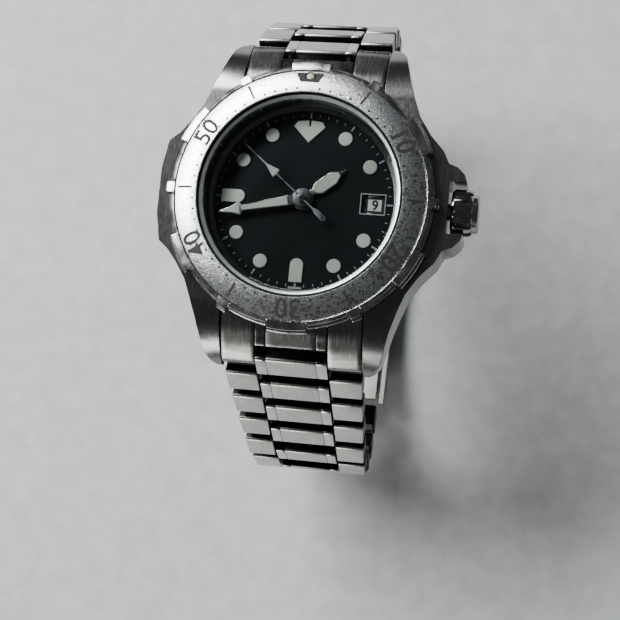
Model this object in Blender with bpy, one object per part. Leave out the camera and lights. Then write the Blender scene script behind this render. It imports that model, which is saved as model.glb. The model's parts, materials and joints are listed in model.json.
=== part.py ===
"""A steel diver's wristwatch: quartz movement, date, turning bezel, screw crown and folding-clasp bracelet.

The origin is the centre of the case back's outer face. +Z leaves through the dial, +Y points to 12 o'clock
and +X to the crown, so the bracelet loop hangs below the case. Lengths are written in millimetres and
MM turns them into metres once, when a mesh is finished.
"""

import math

import bmesh
import bpy
from mathutils import Matrix, Vector

MM = 0.001
WELD = 0.0005

# Case, seen from the front: half of each flank, then the lug
LUG_GAP = 20.3
SLOT_RADIUS = 18.0
CROWN_NOTCH_X = 20.3
CROWN_NOTCH = 3.65
CROWN_FLANK = ((22.65, 3.65), (22.3, 4.6), (21.3, 5.6), (20.0, 6.1), (19.15, 7.8), (17.2, 9.9))
LEFT_FLANK = ((20.55, 3.2), (19.85, 7.2), (18.4, 8.4), (16.9, 10.3))
LUG_SIDE = (
    (15.5, 12.5),
    (14.6, 14.9),
    (13.7, 17.6),
    (13.0, 20.4),
    (12.5, 22.2),
    (11.7, 23.2),
    (10.9, 23.6),
)

# Spring bars, in the lugs
BAR_Y = 19.4
BAR_Z = 3.4

# Case, seen from the side: half of the top line from the middle to the lug tip, then underneath
CASE_TOP = 8.3
CASE_BOTTOM = 0.9
SIDE_TOP = ((11.5, 8.3), (15.5, 7.9), (18.6, 6.9), (21.0, 5.4), (22.8, 3.7), (23.7, 2.3))
SIDE_UNDER = ((23.6, 1.3), (22.7, 0.75), (18.0, 0.8), (15.0, 0.9))

# Bores of the case, from the back to the front
BACK_RADIUS = 14.7
BACK_SEAT = 2.3
MOVEMENT_BORE = 13.6
CRYSTAL_SEAT = 9.25
CRYSTAL_BORE = 14.2
NECK_RADIUS = 14.95
NECK_TOP = 10.5

# Dial side
DIAL_TOP = 6.9
DIAL_THICK = 0.4
DIAL_RADIUS = 13.3
DATE_X = 9.85
DATE_SIZE = (3.3, 2.7)
CRYSTAL_RADIUS = 13.45
CRYSTAL_TOP = 11.35

# Bezel
BEZEL_LOW = 8.7
BEZEL_BORE = 15.5
FLANGE_TOP = 9.65
RIM_TOP = 10.7
RIM_INNER = 17.62
ARC_RADIUS = 18.55
BLOCK_PROUD = 0.65
TIER_STEP = 0.35
BLOCK_HALF = 8.5
TAB_HALF = 2.3
INSERT_INNER = (14.3, 11.49)
INSERT_OUTER = (17.52, 10.56)
INSERT_THICK = 0.6
PIP_RADIUS = 0.62

# Crown
CROWN_Z = 4.6
CROWN_FACE = 20.6
CROWN_RADIUS = 3.3
CROWN_END = 23.9
CROWN_DISC = 24.5
STEM_RADIUS = 0.4
STEM_START = 4.8

# Hands, as clock angles in degrees and lengths
HOUR_CLOCK = 51.43
MINUTE_CLOCK = 257.2
SECONDS_CLOCK = 309.6
HOUR_REACH = 7.36
MINUTE_REACH = 11.8
SECONDS_REACH = 11.9
SECONDS_TAIL = 4.75

# Bracelet
PITCH = 6.0
LINK_THICK = 2.8
FIRST_PIVOT = (22.0, 2.9)
SLOPES_12 = (50, 60, 72, 88, 106, 126, 146)
SLOPES_6 = (60, 60, 60, 61, 72, 96, 122, 146)
WIDTH_AT_CASE = 19.9
WIDTH_AT_CLASP = 16.5
MIDDLE_SHARE = 0.515
JOINT_GAP = 0.12
MIDDLE_SPAN = (-1.2, 2.8)
SIDE_SPAN = (2.7, 7.15)
WEB_SPAN = (1.75, 4.25)
LINK_CORNER = 0.45
EAR_END = 23.2
END_LINK_SIDE = (
    (14.0, 7.7),
    (15.5, 7.55),
    (18.6, 6.6),
    (20.8, 5.4),
    (22.4, 4.3),
    (23.2, 3.4),
    (23.2, 2.2),
    (22.4, 1.45),
    (20.2, 1.4),
    (14.0, 1.5),
)

# Clasp: an arc between the last two pivots, with its plates at these heights outside the pivots
CLASP_SAG = 6.0
CLASP_HALF = 9.1
BLADE_HALF = 7.7
KNUCKLE_HALF = 4.6
KNUCKLE_RADIUS = 0.75
BLADE_HINGE = (6.0, -0.1)
COVER_HINGE = (4.2, 0.75)
LOCK_HINGE = (3.6, 3.12)
LOCK_HALF = 4.15
WALL_INNER = 8.36


# ---------------------------------------------------------------- materials


def finish(name, colour, roughness, metallic):
    """A Principled material in one colour."""
    material = bpy.data.materials.new(name)
    material.use_nodes = True
    shader = material.node_tree.nodes["Principled BSDF"]
    shader.inputs["Base Color"].default_value = (*colour, 1)
    shader.inputs["Roughness"].default_value = roughness
    shader.inputs["Metallic"].default_value = metallic
    return material


def make_finishes():
    return {
        "brushed": finish("brushed_steel", (0.56, 0.56, 0.54), 0.38, 1),
        "polished": finish("polished_steel", (0.68, 0.68, 0.67), 0.12, 1),
        "insert": finish("engraved_insert", (0.62, 0.63, 0.64), 0.3, 1),
        "glass": finish("crystal_glass", (0.9, 0.94, 0.95), 0.03, 0),
        "rubber": finish("dark_rubber", (0.02, 0.03, 0.025), 0.6, 0),
        "dial": finish("dial_black", (0.012, 0.014, 0.017), 0.55, 0),
        "lume": finish("lume_cream", (0.52, 0.56, 0.47), 0.7, 0),
        "brass": finish("movement_brass", (0.72, 0.55, 0.27), 0.35, 1),
        "plastic": finish("holder_plastic", (0.75, 0.74, 0.7), 0.5, 0),
        "circuit": finish("circuit_green", (0.03, 0.16, 0.09), 0.5, 0),
        "copper": finish("coil_copper", (0.65, 0.26, 0.12), 0.4, 1),
        "paper": finish("date_white", (0.85, 0.85, 0.83), 0.6, 0),
    }


# ---------------------------------------------------------------- mesh tools


def finished_object(name, bm, material, location=(0, 0, 0), turn_x=0.0):
    """Closes a bmesh in millimetres into a named object in metres, with its origin at location."""
    bmesh.ops.remove_doubles(bm, verts=bm.verts, dist=WELD)
    bmesh.ops.recalc_face_normals(bm, faces=bm.faces)
    bmesh.ops.scale(bm, vec=(MM, MM, MM), verts=bm.verts)
    mesh = bpy.data.meshes.new(name)
    bm.to_mesh(mesh)
    bm.free()
    mesh.shade_smooth()
    mesh.set_sharp_from_angle(angle=math.radians(30))
    mesh.materials.append(material)
    piece = bpy.data.objects.new(name, mesh)
    piece.location = Vector(location) * MM
    piece.rotation_euler = (turn_x, 0, 0)
    bpy.context.scene.collection.objects.link(piece)
    return piece


def seat_origin(name, point):
    """Moves an unturned piece's origin to a point, with its shape left where it is."""
    piece = bpy.data.objects[name]
    offset = Vector(point) * MM
    piece.data.transform(Matrix.Translation(piece.location - offset))
    piece.location = offset


def combine(piece, tool, operation):
    """Adds a live Boolean to piece, and keeps the tool out of renders."""
    tool.hide_render = True
    tool.display_type = "WIRE"
    modifier = piece.modifiers.new(operation.lower(), "BOOLEAN")
    modifier.operation = operation
    modifier.solver = "EXACT"
    modifier.object = tool


def turned(bm, profile, segments=48, along="Z", centre=(0, 0, 0)):
    """Spins (radius, height) points about an axis. A profile that starts on the axis makes a solid."""
    verts = [bm.verts.new((radius, 0, height)) for radius, height in profile]
    edges = [bm.edges.new(pair) for pair in zip(verts, verts[1:])]
    if profile[0][0] > 0:
        edges.append(bm.edges.new((verts[-1], verts[0])))
    before = set(bm.verts) - set(verts)
    bmesh.ops.spin(bm, geom=verts + edges, cent=(0, 0, 0), axis=(0, 0, 1), angle=math.tau, steps=segments)
    made = [vert for vert in bm.verts if vert not in before]
    if along == "X":
        bmesh.ops.rotate(bm, verts=made, cent=(0, 0, 0), matrix=Matrix.Rotation(math.pi / 2, 3, "Y"))
    bmesh.ops.translate(bm, verts=made, vec=centre)


def prism(bm, outline, low, high, along="Z"):
    """Raises a flat outline: (x, y) points along Z, or (y, z) points along X."""
    face = bm.faces.new([bm.verts.new((*point, low)) for point in outline])
    raised = bmesh.ops.extrude_face_region(bm, geom=[face])["geom"]
    top = [item for item in raised if isinstance(item, bmesh.types.BMVert)]
    bmesh.ops.translate(bm, verts=top, vec=(0, 0, high - low))
    if along == "X":
        sideways = Matrix(((0, 0, 1, 0), (1, 0, 0, 0), (0, 1, 0, 0), (0, 0, 0, 1)))
        bmesh.ops.transform(bm, matrix=sideways, verts=list(face.verts) + top)


def ring_object(name, material, profile, segments=48, **place):
    bm = bmesh.new()
    turned(bm, profile, segments, **place)
    return finished_object(name, bm, material)


def prism_object(name, material, outline, low, high, along="Z"):
    bm = bmesh.new()
    prism(bm, outline, low, high, along)
    return finished_object(name, bm, material)


def box_outline(low_a, high_a, low_b, high_b):
    return [(low_a, low_b), (high_a, low_b), (high_a, high_b), (low_a, high_b)]


def arc(radius, start, end, steps, centre=(0, 0)):
    """Points along a circle, angles in degrees counted anticlockwise from the first axis."""
    angles = [math.radians(start + (end - start) * step / steps) for step in range(steps + 1)]
    return [(centre[0] + radius * math.cos(a), centre[1] + radius * math.sin(a)) for a in angles]


def on_clock(radius, clock):
    """A point at a clock angle in degrees, clockwise from 12."""
    return (radius * math.sin(math.radians(clock)), radius * math.cos(math.radians(clock)))


def gear_outline(teeth, module, turn=0.0):
    """A toothed wheel's outline: V-shaped gaps between teeth with a narrow flat tip."""
    pitch_radius = teeth * module / 2
    step = math.tau / teeth
    outline = []
    for tooth in range(teeth):
        for part, radius in ((-0.5, -1.3), (-0.12, 0.6), (0.12, 0.6)):
            angle = turn + (tooth + part) * step
            reach = pitch_radius + radius * module
            outline.append((reach * math.cos(angle), reach * math.sin(angle)))
    return outline


def meshing_turn(teeth, towards, gap=False):
    """Turns a wheel so that a tooth, or a gap, points at its neighbour."""
    return towards + (math.pi / teeth if gap else 0)


# ---------------------------------------------------------------- case


def case_outline():
    """The front outline, anticlockwise from the crown notch, with a slot between each pair of lugs."""
    half = LUG_GAP / 2
    slot_angle = math.degrees(math.acos(half / SLOT_RADIUS))
    upper_right = [(CROWN_NOTCH_X, CROWN_NOTCH), *CROWN_FLANK, *LUG_SIDE, (half, 23.6)]
    upper_slot = arc(SLOT_RADIUS, slot_angle, 180 - slot_angle, 14)
    upper_left = [(-half, 23.6), *[(-x, y) for x, y in reversed(LUG_SIDE)]]
    upper_left += [(-x, y) for x, y in reversed(LEFT_FLANK)]
    upper = upper_right + upper_slot + upper_left
    return upper + [(x, -y) for x, y in reversed(upper)]


def side_outline():
    right = list(SIDE_TOP) + list(SIDE_UNDER)
    return right + [(-y, z) for y, z in reversed(right)]


def make_case(look):
    body = prism_object("case_body", look["brushed"], case_outline(), CASE_BOTTOM - 0.5, CASE_TOP)
    side = prism_object("case_side_shape", look["brushed"], side_outline(), -30, 30, "X")
    combine(body, side, "INTERSECT")
    neck = ((12.6, 7.9), (NECK_RADIUS, 7.9), (NECK_RADIUS, NECK_TOP), (12.6, NECK_TOP))
    combine(body, ring_object("case_neck", look["brushed"], neck, 48), "UNION")
    bore = (
        (0, -2),
        (BACK_RADIUS, -2),
        (BACK_RADIUS, BACK_SEAT),
        (MOVEMENT_BORE, BACK_SEAT),
        (MOVEMENT_BORE, CRYSTAL_SEAT),
        (CRYSTAL_BORE, CRYSTAL_SEAT),
        (CRYSTAL_BORE, 13),
        (0, 13),
    )
    combine(body, ring_object("case_bore", look["brushed"], bore, 48), "DIFFERENCE")
    stem_hole = ((0, 12), (1.3, 12), (1.3, 24), (0, 24))
    hole = ring_object("case_stem_hole", look["brushed"], stem_hole, 20, along="X", centre=(0, 0, CROWN_Z))
    combine(body, hole, "DIFFERENCE")
    for side_sign in (-1, 1):
        bar_hole = ((0, -11.3), (0.55, -11.3), (0.55, 11.3), (0, 11.3))
        place = {"along": "X", "centre": (0, side_sign * BAR_Y, BAR_Z)}
        hole = ring_object(f"case_bar_hole_{side_sign}", look["brushed"], bar_hole, 12, **place)
        combine(body, hole, "DIFFERENCE")


def make_case_back(look):
    """A screwed back: an outer disc with a stepped rim and a plug that fills the back opening."""
    profile = (
        (0, 0),
        (12.6, 0),
        (13.6, 0.35),
        (14.5, 0.85),
        (14.5, 1.9),
        (13.2, 1.9),
        (13.2, 1.3),
        (0, 1.3),
    )
    back = ring_object("case_back", look["polished"], profile, 48)
    for notch in range(6):
        bm = bmesh.new()
        prism(bm, box_outline(12.4, 15.5, -1.1, 1.1), -0.5, 0.4)
        turn = Matrix.Rotation(math.radians(60 * notch + 30), 3, "Z")
        bmesh.ops.rotate(bm, verts=bm.verts, cent=(0, 0, 0), matrix=turn)
        combine(back, finished_object(f"back_notch_{notch}", bm, look["polished"]), "DIFFERENCE")
    gasket = ((13.75, 1.95), (14.5, 1.95), (14.5, 2.25), (13.75, 2.25))
    ring_object("case_back_gasket", look["rubber"], gasket, 36)


def make_dial_side(look):
    crystal = (
        (0, CRYSTAL_SEAT + 0.05),
        (CRYSTAL_RADIUS, CRYSTAL_SEAT + 0.05),
        (CRYSTAL_RADIUS, CRYSTAL_TOP - 0.25),
        (CRYSTAL_RADIUS - 0.3, CRYSTAL_TOP),
        (0, CRYSTAL_TOP),
    )
    ring_object("crystal", look["glass"], crystal, 48)
    gasket = ((13.52, 9.3), (14.14, 9.3), (14.14, 10.85), (13.95, 11.0), (13.52, 11.0))
    ring_object("crystal_gasket", look["rubber"], gasket, 48)
    rehaut = ((12.85, 6.95), (13.5, 6.95), (13.5, 9.2), (13.3, 9.2))
    ring_object("rehaut_ring", look["polished"], rehaut, 48)
    dial_under = DIAL_TOP - DIAL_THICK
    dial = ring_object(
        "dial",
        look["dial"],
        ((1.35, dial_under), (DIAL_RADIUS, dial_under), (DIAL_RADIUS, DIAL_TOP), (1.35, DIAL_TOP)),
    )
    half_x, half_y = DATE_SIZE[0] / 2, DATE_SIZE[1] / 2
    window = box_outline(DATE_X - half_x, DATE_X + half_x, -half_y, half_y)
    combine(dial, prism_object("date_window", look["dial"], window, 6, 7.5), "DIFFERENCE")


def make_spring_bars(look):
    for name, sign in (("spring_bar_12", 1), ("spring_bar_6", -1)):
        half = [(0.75, 9.6), (0.4, 9.6), (0.4, 11.0), (0, 11.0)]
        bar = [(radius, -along) for radius, along in reversed(half)] + half
        ring_object(name, look["polished"], bar, 12, along="X", centre=(0, sign * BAR_Y, BAR_Z))


# ---------------------------------------------------------------- bezel


def grip_radius(clock, base):
    """The bezel's edge: long blocks stand proud on the even hours and short tabs on the odd ones."""
    off_block = abs((clock + 30) % 60 - 30)
    off_tab = abs(clock % 60 - 30)
    return base + BLOCK_PROUD if off_block < BLOCK_HALF or off_tab < TAB_HALF else base


def grip_outline(base):
    """One closed outline, with two points at every step of the grip and others along the arcs."""
    marks = []
    for hour in range(12):
        half = TAB_HALF if hour % 2 else BLOCK_HALF
        for edge in (-half, half):
            marks += [30 * hour + edge - 0.01, 30 * hour + edge + 0.01]
        marks += [30 * hour, 30 * hour + 11.0, 30 * hour + 15.5, 30 * hour + 20.0]
    return [on_clock(grip_radius(clock, base), clock) for clock in sorted(marks, reverse=True)]


def make_bezel(look):
    flange = prism_object("bezel", look["polished"], grip_outline(ARC_RADIUS), BEZEL_LOW, FLANGE_TOP)
    upper = grip_outline(ARC_RADIUS - TIER_STEP)
    tier = prism_object("bezel_upper", look["polished"], upper, FLANGE_TOP - 0.3, RIM_TOP)
    combine(flange, tier, "UNION")
    slope = (INSERT_INNER[1] - INSERT_OUTER[1]) / (INSERT_OUTER[0] - INSERT_INNER[0])
    seat_low = INSERT_OUTER[1] - INSERT_THICK - 0.06
    seat_high = seat_low + slope * (INSERT_OUTER[0] - BEZEL_BORE)
    bore = (
        (0, BEZEL_LOW - 1),
        (BEZEL_BORE, BEZEL_LOW - 1),
        (BEZEL_BORE, seat_high),
        (RIM_INNER, seat_low),
        (RIM_INNER, 13),
        (0, 13),
    )
    combine(flange, ring_object("bezel_bore", look["polished"], bore, 48), "DIFFERENCE")
    insert = (
        (INSERT_INNER[0], INSERT_INNER[1] - INSERT_THICK),
        (INSERT_OUTER[0], INSERT_OUTER[1] - INSERT_THICK),
        INSERT_OUTER,
        INSERT_INNER,
    )
    plate = ring_object("bezel_insert", look["insert"], insert, 48)
    pip_hole = ((0, 9), (PIP_RADIUS + 0.06, 9), (PIP_RADIUS + 0.06, 13), (0, 13))
    hole = ring_object("pip_hole", look["insert"], pip_hole, 20, centre=(0, 16.55, 0))
    combine(plate, hole, "DIFFERENCE")
    pip = ((0, 10.35), (PIP_RADIUS, 10.35), (PIP_RADIUS, 10.8), (PIP_RADIUS * 0.6, 10.95), (0, 11.0))
    ring_object("bezel_pip", look["lume"], pip, 20, centre=(0, 16.55, 0))
    gasket = ((15.03, 9.3), (15.42, 9.3), (15.42, 9.8), (15.03, 9.8))
    ring_object("bezel_gasket", look["rubber"], gasket, 48)
    spring = arc(17.3, 20, 330, 40) + arc(15.9, 330, 20, 40)
    prism_object("bezel_click_spring", look["polished"], spring, 8.35, 8.6)


# ---------------------------------------------------------------- crown


def make_crown(look):
    """A fluted cup over the crown tube, with a smaller plain disc on its end."""
    outline = []
    flutes = 12
    for flute in range(flutes):
        for part, radius in ((0.0, 0.0), (0.5, 0.0), (0.62, -0.42), (0.88, -0.42)):
            angle = math.tau * (flute + part) / flutes
            reach = CROWN_RADIUS + radius
            outline.append((reach * math.cos(angle), CROWN_Z + reach * math.sin(angle)))
    crown = prism_object("crown", look["polished"], outline, CROWN_FACE, CROWN_END, "X")
    disc = ((0, 23.5), (2.75, 23.5), (2.75, 24.25), (2.5, CROWN_DISC), (0, CROWN_DISC))
    place = {"along": "X", "centre": (0, 0, CROWN_Z)}
    combine(crown, ring_object("crown_disc", look["polished"], disc, 36, **place), "UNION")
    cup = ((0, 20), (1.75, 20), (1.75, 22.5), (0, 22.5))
    combine(crown, ring_object("crown_cup", look["polished"], cup, 24, **place), "DIFFERENCE")
    tube = ((0.75, 13.75), (1.2, 13.75), (1.2, 21.5), (0.75, 21.5))
    ring_object("crown_tube", look["polished"], tube, 20, **place)
    gasket = ((1.25, 20.75), (1.68, 20.75), (1.68, 21.2), (1.25, 21.2))
    ring_object("crown_gasket", look["rubber"], gasket, 20, **place)
    stem = ((0, STEM_START), (STEM_RADIUS, STEM_START), (STEM_RADIUS, 22.44), (0, 22.44))
    ring_object("crown_stem", look["polished"], stem, 12, **place)
    pinion = bmesh.new()
    outer = gear_outline(10, 0.17)
    prism(pinion, [(y, z + CROWN_Z) for y, z in outer], 7.7, 8.6, "X")
    pinion = finished_object("sliding_pinion", pinion, look["polished"])
    bore = ((0, 7), (STEM_RADIUS + 0.06, 7), (STEM_RADIUS + 0.06, 10), (0, 10))
    combine(pinion, ring_object("pinion_bore", look["polished"], bore, 12, **place), "DIFFERENCE")
    for name in ("crown", "crown_gasket", "crown_stem", "sliding_pinion"):
        seat_origin(name, (0, 0, CROWN_Z))


# ---------------------------------------------------------------- hands


def turned_outline(outline, clock):
    """Turns an outline drawn along +Y to a clock angle."""
    angle = math.radians(clock)
    cosine, sine = math.cos(angle), math.sin(angle)
    return [(x * cosine + y * sine, y * cosine - x * sine) for x, y in outline]


def make_hand(name, look, outline, clock, low, high, hub, bore):
    """A flat blade with a round hub, bored when it sits on a tube."""
    hand = prism_object(name, look, turned_outline(outline, clock), low, high)
    hub_profile = ((0, low), (hub, low), (hub, high), (0, high))
    combine(hand, ring_object(f"{name}_hub", look, hub_profile, 24), "UNION")
    if bore:
        hole = ((0, low - 1), (bore, low - 1), (bore, high + 1), (0, high + 1))
        combine(hand, ring_object(f"{name}_bore", look, hole, 20), "DIFFERENCE")


def make_hands(look):
    hour = [(-0.5, -0.5), (0.5, -0.5), (0.5, 1.9), (0.95, 2.9), (0.95, 5.3), (0.3, 6.4), (0.15, HOUR_REACH)]
    hour += [(-x, y) for x, y in reversed(hour[2:])]
    make_hand("hour_hand", look["polished"], hour, HOUR_CLOCK, 7.35, 7.6, 1.6, 1.2)
    minute = [(-0.45, -0.5), (0.45, -0.5), (0.7, 2.2), (0.42, 8.8), (0.95, 8.7), (0.1, MINUTE_REACH)]
    minute += [(-x, y) for x, y in reversed(minute[2:])]
    make_hand("minute_hand", look["polished"], minute, MINUTE_CLOCK, 7.95, 8.2, 1.3, 0.85)
    needle = [(-0.13, -2.4), (-0.42, -2.9), (-0.42, -4.4), (0, -SECONDS_TAIL)]
    needle += [(-x, y) for x, y in reversed(needle[:3])]
    tip = [(0.1, 4.9), (0.72, 4.95), (0.1, 6.9), (0.05, SECONDS_REACH)]
    needle += tip + [(-x, y) for x, y in reversed(tip)]
    make_hand("seconds_hand", look["polished"], needle, SECONDS_CLOCK, 8.6, 8.78, 0.62, 0.26)


# ---------------------------------------------------------------- movement

# Arbor places of the wheels, and each wheel's teeth and tooth module
MINUTE_WHEEL_AT = (3.6, 205)
DATE_DRIVE_AT = (4.8, 75)
THIRD_AT = (3.315, 150)
FIFTH_AT = (3.15, 40)
ROTOR_AT = (2.16, 12)
CANNON = (8, 0.225)
MINUTE_BIG = (24, 0.225)
MINUTE_SMALL = (8, 0.18)
HOUR_BIG = (32, 0.18)
HOUR_SMALL = (12, 4.8 / 18)
DATE_GEAR = (24, 4.8 / 18)
FOURTH_BIG = (36, 0.15)
FIFTH_SMALL = (6, 0.15)
FIFTH_BIG = (30, 0.12)
ROTOR_PINION = (6, 0.12)
FOURTH_SMALL = (6, 0.13)
THIRD_BIG = (45, 0.13)
THIRD_SMALL = (6, 3.315 / 27)
CENTRE_GEAR = (48, 3.315 / 27)


def polar(place, base=(0, 0)):
    radius, degrees = place
    return (
        base[0] + radius * math.cos(math.radians(degrees)),
        base[1] + radius * math.sin(math.radians(degrees)),
    )


def wheel_body(gears, rods, segments=12):
    """One bmesh per layer: toothed discs (teeth, module, turn, low, high) and rods (radius, low, high)."""
    layers = []
    for teeth, module, turn, low, high in gears:
        bm = bmesh.new()
        prism(bm, gear_outline(teeth, module, turn), low, high)
        layers.append(bm)
    for radius, low, high in rods:
        bm = bmesh.new()
        turned(bm, ((0, low), (radius, low), (radius, high), (0, high)), segments)
        layers.append(bm)
    return layers


def make_wheel(name, material, place, gears, rods, bore=None):
    """Joins toothed discs and rods on one arbor, with its origin on that arbor."""
    location = (*place, 0)
    layers = wheel_body(gears, rods)
    wheel = finished_object(name, layers[0], material, location)
    for number, layer in enumerate(layers[1:]):
        combine(wheel, finished_object(f"{name}_layer_{number}", layer, material, location), "UNION")
    if bore:
        bm = bmesh.new()
        turned(bm, ((0, 0), (bore, 0), (bore, 12), (0, 12)), 12)
        combine(wheel, finished_object(f"{name}_bore", bm, material, location), "DIFFERENCE")


def make_motion_works(look):
    brass = look["brass"]
    minute_angle = math.radians(MINUTE_WHEEL_AT[1])
    date_angle = math.radians(DATE_DRIVE_AT[1])
    cannon = (*CANNON, meshing_turn(CANNON[0], minute_angle), 5.0, 5.2)
    make_wheel("cannon_pinion", brass, (0, 0), [cannon], [(0.8, 5.15, 8.3)], bore=0.5)
    big = (*MINUTE_BIG, meshing_turn(MINUTE_BIG[0], minute_angle + math.pi, gap=True), 5.0, 5.18)
    small = (*MINUTE_SMALL, meshing_turn(MINUTE_SMALL[0], minute_angle + math.pi), 5.12, 5.46)
    make_wheel("minute_wheel", brass, polar(MINUTE_WHEEL_AT), [big, small], [])
    hour = (*HOUR_BIG, meshing_turn(HOUR_BIG[0], minute_angle, gap=True), 5.26, 5.44)
    drive = (*HOUR_SMALL, meshing_turn(HOUR_SMALL[0], date_angle), 5.4, 5.78)
    make_wheel("hour_wheel", brass, (0, 0), [hour, drive], [(1.14, 5.7, 7.62)], bore=0.88)
    date = (*DATE_GEAR, meshing_turn(DATE_GEAR[0], date_angle + math.pi, gap=True), 5.56, 5.76)
    make_wheel("date_drive_wheel", look["plastic"], polar(DATE_DRIVE_AT), [date], [(0.7, 5.02, 5.6)])


def make_train(look):
    brass = look["brass"]
    fifth_angle = math.radians(FIFTH_AT[1])
    third_angle = math.radians(THIRD_AT[1])
    rotor_angle = math.radians(ROTOR_AT[1])
    fifth_at = polar(FIFTH_AT)
    rotor_at = polar(ROTOR_AT, fifth_at)
    fourth = (*FOURTH_BIG, meshing_turn(FOURTH_BIG[0], fifth_angle, gap=True), 2.9, 3.08)
    fourth_pinion = (*FOURTH_SMALL, meshing_turn(FOURTH_SMALL[0], third_angle), 3.0, 3.72)
    make_wheel("fourth_wheel", brass, (0, 0), [fourth, fourth_pinion], [(0.2, 2.6, 8.9)])
    fifth = (*FIFTH_BIG, meshing_turn(FIFTH_BIG[0], rotor_angle, gap=True), 3.35, 3.53)
    fifth_pinion = (*FIFTH_SMALL, meshing_turn(FIFTH_SMALL[0], fifth_angle + math.pi), 2.85, 3.4)
    make_wheel("fifth_wheel", brass, fifth_at, [fifth, fifth_pinion], [(0.16, 2.6, 4.2)])
    rotor_pinion = (*ROTOR_PINION, meshing_turn(ROTOR_PINION[0], rotor_angle + math.pi), 3.25, 3.7)
    make_wheel("rotor", look["brushed"], rotor_at, [rotor_pinion], [(0.85, 3.62, 4.1), (0.16, 2.6, 3.4)])
    third = (*THIRD_BIG, meshing_turn(THIRD_BIG[0], third_angle + math.pi, gap=True), 3.5, 3.66)
    third_pinion = (*THIRD_SMALL, meshing_turn(THIRD_SMALL[0], third_angle + math.pi), 3.6, 4.14)
    make_wheel("third_wheel", brass, polar(THIRD_AT), [third, third_pinion], [(0.16, 2.6, 4.2)])
    centre = (*CENTRE_GEAR, meshing_turn(CENTRE_GEAR[0], third_angle, gap=True), 3.92, 4.1)
    make_wheel("center_wheel", brass, (0, 0), [centre], [(0.44, 4.05, 5.9)], bore=0.28)


def make_movement(look):
    rotor_at = polar(ROTOR_AT, polar(FIFTH_AT))
    plate = ((1.0, 4.3), (12.9, 4.3), (12.9, 4.9), (1.0, 4.9))
    plate = ring_object("main_plate", look["brass"], plate, 56)
    stem_slot = prism_object("plate_stem_slot", look["brass"], box_outline(4.2, 14, -1.3, 1.3), 4, 5.2)
    combine(plate, stem_slot, "DIFFERENCE")
    bridge = [*arc(7.6, 10, 175, 16), *arc(1.2, 175, 10, 4)]
    prism_object("train_bridge", look["brushed"], bridge, 2.2, 2.5)
    battery = ((0, 2.5), (4.3, 2.5), (4.65, 2.75), (4.65, 4.2), (0, 4.2))
    ring_object("battery", look["polished"], battery, 36, centre=(-0.6, -8.05, 0))
    coil = ((0, -3.4), (0.9, -3.4), (0.9, 3.4), (0, 3.4))
    ring_object("coil", look["copper"], coil, 16, along="X", centre=(0, 9.2, 3.3))
    stator = [(-4.2, 7.1), (7.6, 7.1), (7.6, 4.6), (5.9, 1.2), (3.3, 1.2), (3.3, 4.6), (-4.2, 4.6)]
    stator = prism_object("stator", look["brushed"], stator, 3.75, 4.0)
    hole = ((0, 3), (1.0, 3), (1.0, 5), (0, 5))
    hole = ring_object("stator_hole", look["brushed"], hole, 20, centre=(*rotor_at, 0))
    combine(stator, hole, "DIFFERENCE")
    board = [*arc(12.6, 152, 222, 12), *arc(7.9, 222, 152, 8)]
    prism_object("circuit_board", look["circuit"], board, 3.4, 4.1)
    holder = ((13.0, 2.5), (13.5, 2.5), (13.5, 6.4), (13.0, 6.4))
    holder = ring_object("movement_holder", look["plastic"], holder, 56)
    opening = prism_object("holder_stem_opening", look["plastic"], box_outline(11, 15, -1.4, 1.4), 3.2, 6.0)
    combine(holder, opening, "DIFFERENCE")
    teeth = []
    for tooth in range(31):
        for part, radius in ((-0.5, 8.55), (-0.1, 8.9), (0.1, 8.9)):
            angle = -math.tau * (tooth + part) / 31
            teeth.append((radius * math.cos(angle), radius * math.sin(angle)))
    ring = ((8.2, 5.95), (12.5, 5.95), (12.5, 6.3), (8.2, 6.3))
    ring = ring_object("date_ring", look["paper"], ring, 62)
    combine(ring, prism_object("date_ring_teeth", look["paper"], teeth, 5, 7), "DIFFERENCE")


# ---------------------------------------------------------------- bracelet


def chain(slopes, sign):
    """The pivots of one side as (y, z), each link dropping at its slope in degrees below level."""
    pivots = [(sign * FIRST_PIVOT[0], FIRST_PIVOT[1])]
    for slope in slopes:
        y, z = pivots[-1]
        angle = math.radians(slope)
        pivots.append((y + sign * PITCH * math.cos(angle), z - PITCH * math.sin(angle)))
    return pivots


def link_width(number, count):
    return WIDTH_AT_CASE + (WIDTH_AT_CLASP - WIDTH_AT_CASE) * min(1, number / (count - 1))


def rounded_block(start, end, half, corner):
    """The side view of a block: a slab with its four corners cut at 45 degrees."""
    return [
        (start + corner, -half),
        (end - corner, -half),
        (end, -half + corner),
        (end, half - corner),
        (end - corner, half),
        (start + corner, half),
        (start, half - corner),
        (start, -half + corner),
    ]


def column_half(width):
    """Half the width of the middle column, which keeps its share as the bracelet tapers."""
    return width * MIDDLE_SHARE / 2


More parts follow.
